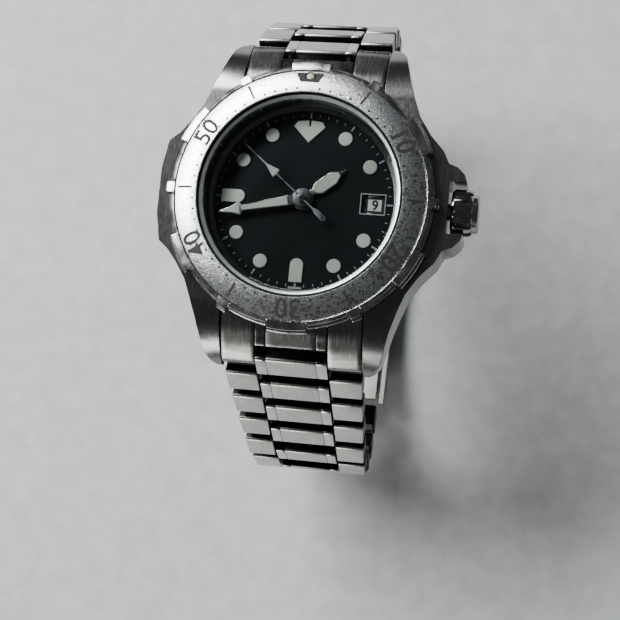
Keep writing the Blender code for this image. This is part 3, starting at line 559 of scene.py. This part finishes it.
def make_finishes():
    """Every finish of the watch, by the word that the pieces ask for it with."""
    lengthwise = (9000, 350, 350)
    return {
        # Case steel painted darker than the bracelet links' steel: painted shade
        "case": brushed_steel("case_steel_painted_shade", (0.26, 0.26, 0.255), (7000, 900, 5000), 0.17, 0.25, 0.04, 0.12),
        # Link steel with near-black painted shade in the gaps between links
        "links": brushed_steel("link_steel", (0.6, 0.59, 0.56), lengthwise, 0.25, 0.42, paint_gap_shade=True),
        # End links in the same steel, painted darker than the links: painted shade
        "end_links": brushed_steel("end_link_steel_painted_shade", (0.3, 0.3, 0.29), lengthwise, 0.2, 0.32, 0.2),
        "clasp": brushed_steel("clasp_steel", (0.6, 0.59, 0.56), lengthwise, 0.3, 0.5),
        # Polished link strips with the same painted shade in the gaps
        "link_strips": polished_steel("link_strip_steel", (0.68, 0.68, 0.66), 0.2, paint_gap_shade=True),
        # End link strips painted darker than the link strips: painted shade
        "strips": polished_steel("strip_steel", (0.3, 0.3, 0.29), 0.16),
        # The web is the link steel painted near-black: painted shade in the gaps between links
        "web": brushed_steel("web_steel_painted_shade", (0.16, 0.16, 0.155), lengthwise, 0.45, 0.6),
        "polished": polished_steel("mirror_steel", (0.62, 0.62, 0.62)),
        "bezel": polished_steel("bezel_steel", (0.56, 0.56, 0.56), 0.18),
        # Crown steel painted darker: painted shade
        "crown": polished_steel("crown_steel_painted_shade", (0.36, 0.36, 0.355), 0.12),
        "insert": worn_insert("worn_and_shaded_insert_steel"),
        "engraving": grained("engraving_paint", (0.018, 0.018, 0.02), 0.7),
        "glass": clear_glass("flat_crystal"),
        "gasket": grained("gasket_rubber", (0.012, 0.022, 0.017), 0.4, depth=0.02),
        "dial": matt_dial("dial_matt_black"),
        "lume": grained("luminous_paint", (0.7, 0.76, 0.66), 0.75, grain=6000.0, depth=0.02, spread=0.93),
        "seat": grained("seat_satin", (0.86, 0.88, 0.89), 0.34, 1.0, grain=4000.0),
        # The dial ring's steel painted dark: painted shade in the recess under the glass
        "dial_ring": grained("dial_ring_satin_painted_shade", (0.2, 0.215, 0.21), 0.3, 1.0, grain=4000.0),
        "pip": grained("pip_cream", (0.72, 0.58, 0.43), 0.6, grain=5000.0),
        "print": grained("dial_print", (0.5, 0.52, 0.53), 0.6),
        "date": grained("date_paper_white", (0.95, 0.95, 0.94), 0.6),
        "date_ink": grained("date_ink_black", (0.01, 0.01, 0.012), 0.5),
        "hands": polished_steel("hand_steel", (0.78, 0.78, 0.74), 0.18),
        "needle": polished_steel("needle_steel", (0.6, 0.63, 0.67), 0.34),
        "hub": polished_steel("hub_steel", (0.16, 0.165, 0.17), 0.35),
        "brass": grained("movement_brass_satin", (0.7, 0.52, 0.25), 0.32, 1.0),
        "plastic": grained("holder_white_plastic", (0.74, 0.73, 0.69), 0.5),
        "circuit": circuit_mask("circuit_green_mask"),
        "copper": wound_copper("coil_winding"),
        "movement": brushed_steel("movement_steel", (0.6, 0.6, 0.6), (6000, 600, 600)),
    }


# ---------------------------------------------------------------- dial side


def make_marks(look):
    """Luminous plots: a split wedge at 12, bullets at 6 and 9 and dots at the other hours but 3. A bullet's
    nose is a half ellipse, (half cos t, shoulder - nose sin t)."""
    low = DIAL_TOP + 0.01
    high = DIAL_TOP + 0.28
    dots = [crowned_plate(disc(DOT_RADIUS, polar(DOT_PLACE, 30 * hour)), low, high, 0.14)
            for hour in (1, 2, 4, 5, 7, 8, 10, 11)]
    # The tip lies on the axis, so mirrored lists it twice and the first is left out.
    wedge = mirrored([(0, 8.2), (2.25, 10.5), (1.75, 11.25), (0.16, 11.42), (0.12, 10.55)])[1:]
    half, shoulder, nose, back = 0.94, 9.2, 0.9, 11.7
    t = np.radians(np.linspace(180, 0, 13))
    bullet = np.stack([half * np.cos(t), shoulder - nose * np.sin(t)], -1)
    bullet = np.concatenate([bullet, [(half, back), (-half, back)]])
    plots = dots + [crowned_plate(wedge, low, high, 0.1)]
    plots += [crowned_plate(spun(bullet, clock), low, high, 0.12) for clock in (180, 270)]
    make_piece("luminous_plots", together(plots), "case", look["lume"])


def make_dial_print(look):
    """Minute ticks round the dial's edge, a longer one at each five, and the frame of the date opening."""
    low = DIAL_TOP + 0.005
    high = low + PRINT_THICK
    ticks = []
    for minute in range(60):
        long = minute % 5 == 0
        half, length = (0.11, 0.42) if long else (0.045, 0.2)
        bar = rectangle(-half, half, TICK_PLACE - length, TICK_PLACE + length)
        ticks.append(plate(spun(bar, 6 * minute), low, high))
    foot = rectangle(-0.95, 0.95, TICK_PLACE + 0.12, TICK_PLACE + 0.42)
    ticks.append(plate(spun(foot, 180), low + 0.03, high + 0.03))
    half_x, half_y = DATE_OPENING[0] / 2, DATE_OPENING[1] / 2
    line = 0.14
    for sign in (-1, 1):
        across = sorted((DATE_X + sign * half_x, DATE_X + sign * (half_x + line)))
        ticks.append(plate(rectangle(*across, -half_y - line, half_y + line), low, high))
        up = sorted((sign * half_y, sign * (half_y + line)))
        ticks.append(plate(rectangle(DATE_X - half_x, DATE_X + half_x, *up), low, high))
    make_piece("dial_print", together(ticks), "case", look["print"])


def number_shape(number, size, thick, bold):
    """A number about its own centre as points and faces in millimetres, from 0 to thick in height. bold
    moves its outline outwards."""
    curve = bpy.data.curves.new("number", "FONT")
    curve.body = str(number)
    curve.size = size
    curve.extrude = thick / 2
    curve.offset = bold
    curve.resolution_u = 4
    curve.align_x = "CENTER"
    holder = bpy.data.objects.new("number", curve)
    mesh = bpy.data.meshes.new_from_object(holder)
    bm = bmesh.new()
    bm.from_mesh(mesh)
    bmesh.ops.remove_doubles(bm, verts=bm.verts, dist=1e-5)
    bm.to_mesh(mesh)
    bm.free()
    bpy.data.objects.remove(holder)
    points = np.empty(3 * len(mesh.vertices))
    mesh.vertices.foreach_get("co", points)
    points = points.reshape(-1, 3)
    faces = [list(face.vertices) for face in mesh.polygons]
    middle = (points.min(0) + points.max(0)) / 2
    return points - middle + (0, 0, thick / 2), faces


def make_dates(look):
    """The days of the month on the date ring, upright at 3 o'clock, with the shown day in the opening."""
    paper, ink = [], []
    for day in range(1, 32):
        clock = 90 - (day - SHOWN_DAY) * TURN / 31
        size, narrow = (2.0, 0.95) if day < 10 else (1.6, 0.72)
        patch = rectangle(-0.8, 0.8, DATE_X - 0.75, DATE_X + 1.15)
        paper.append(plate(spun(patch, clock), DATE_LEVEL + 0.005, DATE_LEVEL + 0.025))
        points, faces = number_shape(day, size, 0.02, 0.05)
        flat = spun(points[:, :2] * (narrow, 1), clock - 90) + np.array(polar(DATE_X + 0.25, clock))
        ink.append((np.column_stack([flat, points[:, 2] + DATE_LEVEL + 0.03]), faces))
    make_piece("date_patches", together(paper), "date_ring_body", look["date"])
    make_piece("date_numbers", together(ink), "date_ring_body", look["date_ink"])


def make_dial_rings(look):
    """The ring round the dial, the glass's bevelled seat, its gasket and the glass, each a turned profile of
    (radius, height) points."""
    low, high, edge = foot("rehaut_ring"), top("rehaut_ring"), outer_radius("rehaut_ring")
    wall = [(edge - 0.74, low), (edge, low), (edge, high), (edge - 0.04, high), (edge - 0.06, high - 0.1),
            (edge - 0.1, low + 0.45), (edge - 0.7, low + 0.15)]
    piece = make_piece("dial_surround", turned_ring(wall), "case", look["dial_ring"])
    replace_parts(piece, "rehaut_ring")
    low, high, edge = foot("crystal_gasket"), top("crystal_gasket"), outer_radius("crystal_gasket")
    seat = [(edge - 0.67, low), (edge - 0.2, low), (edge - 0.2, high - 0.04), (edge - 0.24, high - 0.02),
            (edge - 0.64, high - 0.2), (edge - 0.67, high - 0.26)]
    make_piece("glass_seat", turned_ring(seat), "case", look["seat"])
    gasket = [(edge - 0.18, low), (edge, low), (edge, high - 0.15), (edge - 0.04, high - 0.08),
              (edge - 0.18, high - 0.08)]
    piece = make_piece("glass_gasket", turned_ring(gasket), "case", look["gasket"])
    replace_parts(piece, "crystal_gasket")
    low, high, edge = foot("crystal"), top("crystal"), outer_radius("crystal")
    glass = [(0.4, low), (edge, low), (edge, high - 0.25), (edge - 0.09, high - 0.11), (edge - 0.25, high),
             (0.4, high)]
    piece = make_piece("glass", turned_solid(glass, 240), "case", look["glass"])
    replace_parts(piece, "crystal")


# ---------------------------------------------------------------- hands


def make_hand(name, node, body, metal, outline, clock, hub, paint, look, proud=0.0):
    """A metal blade from the node's foot to its top less proud, a round hub, and paint let into its face."""
    low, high = foot(node), top(node) - proud
    blade = crowned_plate(spun(outline, clock), low, high, 0.07)
    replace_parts(make_piece(name, blade, body, look[metal]), node)
    boss = [(hub - 0.03, low - 0.01), (hub, low + 0.02), (hub, high + 0.01), (hub - 0.05, high + 0.03)]
    piece = make_piece(f"{name}_hub", turned_solid(boss), body, look["hub"])
    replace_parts(piece, node)
    fields = [plate(spun(field, clock), high - 0.03, high + 0.035, 0.015) for field in paint]
    make_piece(f"{name}_paint", together(fields), body, look["lume"])


def make_hands(look):
    """A spade hour hand, a minute hand with an arrow, and a seconds needle with an arrow and a tail."""
    hour = mirrored([(0.5, -0.4), (0.42, 1.9), (0.98, 2.75), (0.98, 5.2), (0.36, 6.35), (0.16, 6.5),
                     (0.1, 7.36)])
    hour_paint = [mirrored([(0.38, 2.1), (0.84, 2.8), (0.84, 5.15), (0.28, 6.2)])]
    make_hand("hour_blade", "hour_hand", "hour_group", "hands", hour, HOUR_CLOCK, 1.55, hour_paint, look)
    minute = mirrored([(0.5, -0.4), (0.72, 2.0), (0.42, 8.6), (1.0, 8.75), (0.5, 10.1), (0.12, 11.8)])
    minute_paint = [
        mirrored([(0.56, 2.05), (0.3, 8.6)]),
        mirrored([(0.78, 8.95), (0.36, 10.05), (0.12, 11.0)]),
    ]
    make_hand("minute_blade", "minute_hand", "minute_group", "hands", minute, MINUTE_CLOCK, 1.25,
              minute_paint, look)
    needle = mirrored([(0.06, -4.75), (0.44, -4.4), (0.36, -2.9), (0.14, -2.3), (0.1, 4.85), (0.74, 4.95),
                       (0.12, 6.95), (0.05, 11.9)])
    needle_paint = [mirrored([(0.56, 5.06), (0.1, 6.55)])]
    make_hand("seconds_needle", "seconds_hand", "seconds_group", "needle", needle, SECONDS_CLOCK, 0.6,
              needle_paint, look, proud=0.02)
    high = top("seconds_hand")
    cap = turned_solid([(0.32, high), (0.32, high + 0.07), (0.2, high + 0.14)])
    make_piece("seconds_cap", cap, "seconds_group", look["polished"])


# ---------------------------------------------------------------- bezel


def insert_level(radius):
    """Height of the insert's sloping face at a radius: a straight cone between its inner and outer edges."""
    share = (radius - INSERT_INNER[0]) / (INSERT_OUTER[0] - INSERT_INNER[0])
    return INSERT_INNER[1] + share * (INSERT_OUTER[1] - INSERT_INNER[1])


def on_insert(shape, clock, radius, lift):
    """Lays a shape drawn about the origin on the insert: x goes round the cone, y outwards, z off its face.
    A point goes to radius + y, at clock + x / radius, as high as the cone is there plus z and lift."""
    points, faces = shape
    across, outward, up = points.T
    distance = radius + outward
    x, y = polar(distance, clock + np.degrees(across / radius))
    return np.stack([x, y, insert_level(distance) + up + lift], -1), faces


def make_scale(look):
    """The timing scale: numbers at the tens, bars at the odd fives and dots between."""
    marks = []
    for number in range(10, 60, 10):
        marks.append(on_insert(number_shape(number, 3.7, 0.09, 0.055), 6 * number, 15.95, SUNK))
    for minute in range(5, 60, 10):
        bar = plate(rectangle(-0.16, 0.16, -1.1, 1.1), 0, 0.09)
        marks.append(on_insert(bar, 6 * minute, 16.05, SUNK))
    for minute in range(1, 60):
        if minute % 5:
            dot = plate(disc(0.18, (0, 0), 10), 0, 0.09)
            marks.append(on_insert(dot, 6 * minute, 14.85, SUNK))
    make_piece("bezel_scale", together(marks), "turning_bezel", look["engraving"])


def make_pip(look):
    """The pip at the top of the scale: a dark recess, a steel ring in it, and a dome of luminous paint whose
    radius falls with 1 - cos t as its height grows with sin t."""
    outline = rectangle(-1.9, 1.9, -0.75, 0.75)
    outline[:2, 0] *= 0.72
    recess = on_insert(plate(outline, 0, 0.08), 0, PIP_PLACE, SUNK + 0.005)
    make_piece("pip_recess", recess, "turning_bezel", look["engraving"])
    level = insert_level(PIP_PLACE)
    ring = [(PIP_RADIUS, level - 0.02), (PIP_RADIUS + 0.16, level - 0.02), (PIP_RADIUS + 0.13, level + 0.12),
            (PIP_RADIUS + 0.03, level + 0.12)]
    points, faces = turned_ring(ring, 48)
    setting = points + (0, PIP_PLACE, 0), faces
    make_piece("pip_setting", setting, "turning_bezel", look["polished"])
    t = np.linspace(0, math.pi / 2 * 0.93, 7)
    dome = np.stack([PIP_RADIUS - 0.04 - 0.6 * (1 - np.cos(t)), level - 0.2 + 0.35 * np.sin(t)], -1)
    profile = np.concatenate([[(dome[0, 0], level - 0.3)], dome])
    pip = turned_solid(profile, 36, (0, PIP_PLACE))
    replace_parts(make_piece("pip", pip, "turning_bezel", look["pip"]), "bezel_pip")


def grip(clock):
    """0 on the bezel's arcs and 1 on its blocks, with the smooth step 3 s^2 - 2 s^3 between: long blocks
    stand at the even hours and short tabs at the odd ones."""
    off_block = np.abs((clock + 30) % 60 - 30) - BLOCK_HALF
    off_tab = np.abs(clock % 60 - 30) - TAB_HALF
    step = np.clip(0.5 - np.minimum(off_block, off_tab) / 0.4, 0, 1)
    return step * step * (3 - 2 * step)


def grip_cut(clock):
    """1 in the narrow cuts beside each block, and 0 elsewhere."""
    off_block = np.abs(np.abs((clock + 30) % 60 - 30) - BLOCK_HALF - 0.5)
    off_tab = np.abs(np.abs(clock % 60 - 30) - TAB_HALF - 0.5)
    return np.clip(1.6 - np.minimum(off_block, off_tab) / 0.3, 0, 1)


def make_bezel(look):
    """The grip ring: its outer points follow R(a) = arc + proud grip(a), less a cut beside each block."""
    clock = np.arange(2160) * TURN / 2160
    block = grip(clock)[:, None]
    cut = 0.28 * grip_cut(clock)[:, None] * (1 - block)
    edge = ARC_RADIUS + BLOCK_PROUD * block - cut
    seat_low = INSERT_OUTER[1] - INSERT_THICK - 0.06
    slope = (INSERT_INNER[1] - INSERT_OUTER[1]) / (INSERT_OUTER[0] - INSERT_INNER[0])
    outer = np.array([
        (-0.22, BEZEL_LOW), (-0.06, BEZEL_LOW + 0.08), (0, BEZEL_LOW + 0.22), (0, FLANGE_TOP - 0.18),
        (-0.05, FLANGE_TOP - 0.06), (-0.14, FLANGE_TOP), (-TIER_STEP - 0.02, FLANGE_TOP),
        (-TIER_STEP, FLANGE_TOP + 0.04), (-TIER_STEP, RIM_TOP - 0.34),
        (-TIER_STEP - 0.04, RIM_TOP - 0.24), (-TIER_STEP - 0.12, RIM_TOP - 0.19),
    ])
    inner = np.array([
        (RIM_INNER + 0.05, RIM_TOP - 0.02), (RIM_INNER, RIM_TOP - 0.06), (RIM_INNER, seat_low),
        (BEZEL_BORE, seat_low + slope * (INSERT_OUTER[0] - BEZEL_BORE)), (BEZEL_BORE, BEZEL_LOW),
    ])
    bore = np.broadcast_to(inner[:, 0], (len(clock), len(inner)))
    radius = np.concatenate([edge + outer[:, 0], bore], 1)
    height = np.broadcast_to(np.concatenate([outer[:, 1], inner[:, 1]]), radius.shape)
    x, y = polar(radius, clock[:, None])
    shape = sweep(np.stack([x, y, height], -1), closed=True)
    piece = make_piece("bezel_grip", shape, "turning_bezel", look["bezel"])
    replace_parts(piece, "bezel")


def make_insert(look):
    """A cone ring with its two top edges rounded: a turned profile of (radius, height) points."""
    (inner, high), (outer, low) = INSERT_INNER, INSERT_OUTER
    profile = [(inner, high - INSERT_THICK), (inner, high - 0.16), (inner + 0.05, high - 0.05),
               (inner + 0.17, high - 0.04)]
    profile += [(outer - 0.14, low + 0.03), (outer - 0.03, low - 0.03), (outer, low - 0.12)]
    profile += [(outer, low - INSERT_THICK)]
    shape = turned_ring(profile)
    piece = make_piece("insert_face", shape, "turning_bezel", look["insert"])
    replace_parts(piece, "bezel_insert")


# ---------------------------------------------------------------- crown


def make_crown(look):
    """A fluted cup about the stem. Its points follow R - d f(a), where f is a rounded trough twelve times a
    turn. The profile lists the distance from the crown's inner face, R and d."""
    profile = np.array([
        (0.02, 2.6, 0), (0.06, 2.9, 0.1), (0.2, 3.12, 0.25), (0.5, 3.3, 0.42), (1.8, 3.3, 0.42),
        (2.6, 3.25, 0.38), (2.9, 3.1, 0.25), (3.02, 2.92, 0.1), (3.02, 2.8, 0), (3.06, 2.76, 0),
        (3.6, 2.76, 0), (3.76, 2.66, 0), (3.86, 2.5, 0), (3.9, 2.3, 0),
    ])
    along, radius, depth = profile.T[:, :, None]
    turn = np.arange(360) * TURN / 360
    trough = np.clip(0.5 - 1.7 * np.cos(np.radians(12 * turn)), 0, 1)
    trough = trough * trough * (3 - 2 * trough)
    y, z = polar(radius - depth * trough, turn)
    x = np.broadcast_to(CROWN_FACE + along, y.shape)
    cup = sweep(np.stack([x, y, z + CROWN_Z], -1))
    piece = make_piece("crown_grip", cup, "crown_and_stem", look["crown"])
    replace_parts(piece, "crown")


# ---------------------------------------------------------------- bracelet


def slab_profile(start, end, half, corner, steps=5):
    """A rounded rectangle in (along, outward): four quarter circles, centre + corner (cos t, sin t)."""
    near, far, high = start + corner, end - corner, half - corner
    points = []
    for centre, first in (((far, high), 0), ((near, high), 90), ((near, -high), 180), ((far, -high), 270)):
        t = np.radians(np.linspace(first, first + 90, steps))
        points.append(np.stack([centre[0] + corner * np.cos(t), centre[1] + corner * np.sin(t)], -1))
    return np.concatenate(points)


def shrunk(profile, amount):
    """Pulls a profile towards its middle m by amount on every side: m + (p - m) (1 - amount / half)."""
    middle = (profile.min(0) + profile.max(0)) / 2
    half = (profile.max(0) - profile.min(0)) / 2
    return middle + (profile - middle) * (1 - amount / half)


def slab(profile, low, high, place, edge=0.13, taper=0.0):
    """Carries a profile across a link from low to high, smaller by edge (1 - sin t) at its rounded ends. On
    the half away from the bracelet's middle it also moves inwards by taper times the share along the link."""
    t = np.linspace(0, math.pi / 2, 4)
    near = low + edge * (1 - np.cos(t))
    stations = np.concatenate([near, low + high - near[::-1]])
    cut = edge * (1 - np.sin(t))
    cuts = np.concatenate([cut, cut[::-1]])
    middle = (low + high) / 2
    side = np.sign(middle)
    start, end = profile[:, 0].min(), profile[:, 0].max()
    sections = []
    for x, amount in zip(stations, cuts):
        shape = shrunk(profile, amount)
        outer = side * (x - middle) > 0
        pull = outer * taper * (shape[:, 0] - start) / (end - start)
        sections.append(place(x - side * pull, shape))
    return sweep(np.array(sections))


def link_place(pivot, slope, sign):
    """Returns a function that puts (across, (along, outward)) in the row frame for a link at a pivot."""
    angle = math.radians(slope)
    along = np.array([sign * math.cos(angle), -math.sin(angle)])
    outward = np.array([sign * math.sin(angle), math.cos(angle)])

    def place(across, shape):
        """pivot + a * along + o * outward, at x = across."""
        yz = np.asarray(pivot) + shape[:, :1] * along + shape[:, 1:] * outward
        return np.column_stack([across, yz])

    return place


def make_link(name, look, pivot, slope, sign, width):
    """A wide middle block between two polished strips, two outer blocks, and a web behind them."""
    place = link_place(pivot, slope, sign)
    half = LINK_THICK / 2
    column = width * MIDDLE_SHARE / 2
    strip = column * STRIP_SHARE
    wide = column - strip
    body = f"{name}_body"
    middle = slab_profile(*MIDDLE_SPAN, half, 0.5)
    outer = slab_profile(*SIDE_SPAN, half, 0.5)
    blocks = [slab(middle, -wide, wide, place)]
    for side in (-1, 1):
        span = sorted((side * (column + JOINT_GAP), side * width / 2))
        blocks.append(slab(outer, *span, place, 0.2, 0.22))
    piece = make_piece(f"{name}_blocks", together(blocks), body, look["links"])
    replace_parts(piece, name)
    # Heights above the pivots, which the link finishes turn into painted shade in the gaps
    mark_exposure(piece, pivot, slope, sign)
    strips = [slab(middle, *sorted((side * (wide + 0.01), side * column)), place, 0.1) for side in (-1, 1)]
    piece = make_piece(f"{name}_strips", together(strips), body, look["link_strips"])
    mark_exposure(piece, pivot, slope, sign)
    # The web behind the blocks takes a near-black finish: painted shade in the gaps between links
    web = slab_profile(*WEB_SPAN, 0.6, 0.1) + (0, -0.7)
    web = slab(web, -width / 2 + 0.3, width / 2 - 0.3, place, 0.05)
    make_piece(f"{name}_web", web, body, look["web"])


def chain(label):
    """Pivots (y, z) of one half of the bracelet, from the joints, with the pivot at its clasp end added. The
    12 o'clock half has no joint there, so its last pivot is one pitch on, at the last link's slope."""
    names = [joint["name"] for joint in frame["joints"] if joint["name"].startswith(f"link_{label}_")]
    pivots = [joint_place(name)[1:] for name in names]
    if label == "6":
        return pivots + [joint_place("inner_blade_pivot")[1:]]
    slope = math.radians(LAST_SLOPE_12)
    return pivots + [pivots[-1] + PITCH * np.array([math.cos(slope), -math.sin(slope)])]


def make_links(look):
    """Each link stands from its pivot towards the next. Its width falls evenly from the case to the clasp."""
    for label, sign in (("12", 1), ("6", -1)):
        pivots = chain(label)
        count = len(pivots) - 1
        for number in range(count):
            step = pivots[number + 1] - pivots[number]
            slope = math.degrees(math.atan2(-step[1], sign * step[0]))
            width = WIDTH_AT_CASE + (WIDTH_AT_CLASP - WIDTH_AT_CASE) * number / (count - 1)
            make_link(f"link_{label}_{number + 1}", look, pivots[number], slope, sign, width)


def end_section(x, nose, low):
    """One section of an end link at x, as (y, z): its inner end stands on the case's round wall,
    y = sqrt(R^2 - x^2), its face follows the case's fall towards the lug tips, and its nose is a half ellipse
    down to the underside."""
    inner = math.sqrt(SLOT_RADIUS**2 - x * x)
    start = nose - END_NOSE
    face_y, face_z = np.array(END_TOP).T
    along = np.linspace(inner, start, 12)
    face = np.stack([along, np.interp(along, face_y, face_z)], -1)
    middle = (face[-1, 1] + low) / 2
    t = np.radians(np.linspace(75, -75, 7))
    front = np.stack([start + END_NOSE * np.cos(t), middle + (face[-1, 1] - middle) * np.sin(t)], -1)
    under = np.stack([np.linspace(start, inner, 8), np.full(8, low)], -1)
    return np.concatenate([face, front, under])


def end_column(low, high, nose, sign):
    """One column of an end link from x = low to high: its sections, with the two at each end cut back, which
    rounds its edges."""
    inside = np.linspace(low + 0.14, high - 0.14, 9)
    stations = np.concatenate([[low, low + 0.04], inside, [high - 0.04, high]])
    cuts = np.concatenate([[0.12, 0.04], np.zeros(9), [0.04, 0.12]])
    sections = []
    for x, cut in zip(stations, cuts):
        y, z = end_section(x, nose - cut, END_FOOT).T
        sections.append(np.column_stack([np.full(len(y), x), sign * y, z - cut * (z > END_WAIST)]))
    return sweep(np.array(sections))


def make_end_links(look):
    """Five columns with cut lines between them: two ears that reach past the middle three."""
    column = WIDTH_AT_CASE * MIDDLE_SHARE / 2
    wide = column * (1 - STRIP_SHARE)
    ear = column + JOINT_GAP
    strip = wide + 0.03
    half = WIDTH_AT_CASE / 2
    blocks = [(-half, -ear, EAR_END), (-wide, wide, MIDDLE_END), (ear, half, EAR_END)]
    strips = [(-column, -strip, MIDDLE_END), (strip, column, MIDDLE_END)]
    for label, sign in (("12", 1), ("6", -1)):
        for kind, spans, finish in (("blocks", blocks, "end_links"), ("strips", strips, "strips")):
            shape = together([end_column(*span, sign) for span in spans])
            piece = make_piece(f"end_link_{label}_{kind}", shape, "case", look[finish])
            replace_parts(piece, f"end_link_{label}")


# ---------------------------------------------------------------- CAD nodes that stay


def finish_nodes(look):
    """Gives each node that is shown as it is a finish of its own kind."""
    kinds = {
        "dial": "dial",
        "date_ring": "date_ink",
        "battery": "polished",
        "coil": "copper",
        "stator": "movement",
        "train_bridge": "movement",
        "circuit_board": "circuit",
        "movement_holder": "plastic",
        "date_drive_wheel": "plastic",
        "rotor": "movement",
        "case_back_gasket": "gasket",
        "bezel_gasket": "gasket",
        "crown_gasket": "gasket",
        "cannon_pinion": "hub",
        "main_plate": "brass",
    }
    for wheel in ("hour", "minute", "fourth", "fifth", "third", "center"):
        kinds[f"{wheel}_wheel"] = "brass"
    for name, node in frame["nodes"].items():
        node.data.materials.clear()
        node.data.materials.append(look[kinds.get(name, "polished")])


def refine_nodes(look):
    """Case, back and clasp: the CAD shape with rounded edges."""
    refined("case_body", look["case"], 0.16)
    refined("case_back", look["polished"], 0.08)
    for name in ("clasp_cover", "clasp_middle_blade", "clasp_inner_blade"):
        refined(name, look["clasp"], 0.1)
    refined("safety_lock", look["polished"], 0.12)


# ---------------------------------------------------------------- studio


def aimed(place, target):
    """A turn that points -Z from place to target."""
    return (Vector(target) - Vector(place)).to_track_quat("-Z", "Y").to_euler()


def soft_light(name, place, target, size, power, colour):
    """A rectangular light, size wide and high, that faces target."""
    light = bpy.data.lights.new(name, "AREA")
    light.shape = "RECTANGLE"
    light.size, light.size_y = size[0] * MM, size[1] * MM
    light.energy = power
    light.color = colour
    holder = bpy.data.objects.new(name, light)
    holder.location = Vector(place) * MM
    holder.rotation_euler = aimed(place, target)
    bpy.context.scene.collection.objects.link(holder)


def make_studio(floor_level):
    """A plain pale floor under the watch, a dim room, a long window and a weak light from the front."""
    sheet = bpy.data.meshes.new("floor")
    half = FLOOR_HALF * MM
    corners = np.column_stack([rectangle(-half, half, -half, half), np.full(4, floor_level)])
    sheet.from_pydata(corners.tolist(), [], [(0, 1, 2, 3)])
    sheet.materials.append(grained("floor_paper", (0.62, 0.635, 0.63), 0.8, grain=300.0))
    floor = bpy.data.objects.new("floor", sheet)
    bpy.context.scene.collection.objects.link(floor)
    world = bpy.data.worlds.new("studio")
    world.use_nodes = True
    room = world.node_tree.nodes["Background"]
    room.inputs["Color"].default_value = (0.9, 0.95, 1.0, 1)
    room.inputs["Strength"].default_value = ROOM_LIGHT
    bpy.context.scene.world = world
    soft_light("window", WINDOW_PLACE, (0, 0, 0), (560, 200), 7.8, (0.97, 0.99, 1.0))
    soft_light("front", FRONT_PLACE, (0, -40, -40), (300, 160), 1.1, (1.0, 0.98, 0.95))


def make_camera():
    """The view: nearly from above, and a little from 6 o'clock and the crown."""
    camera = bpy.data.cameras.new("camera")
    camera.angle = math.radians(CAMERA_VIEW)
    camera.clip_start = 0.01
    holder = bpy.data.objects.new("camera", camera)
    turn = Euler([math.radians(angle) for angle in CAMERA_TILT], "XYZ")
    holder.matrix_world = Matrix.Translation(Vector(CAMERA_PLACE) * MM) @ turn.to_matrix().to_4x4()
    bpy.context.scene.collection.objects.link(holder)
    bpy.context.scene.camera = holder


# ---------------------------------------------------------------- assembly

look = make_finishes()
make_camera()
finish_nodes(look)
refine_nodes(look)
make_marks(look)
make_dial_print(look)
make_dates(look)
make_dial_rings(look)
make_hands(look)
make_bezel(look)
make_insert(look)
make_scale(look)
make_pip(look)
make_crown(look)
make_links(look)
make_end_links(look)
make_studio(cad_box[0][2])
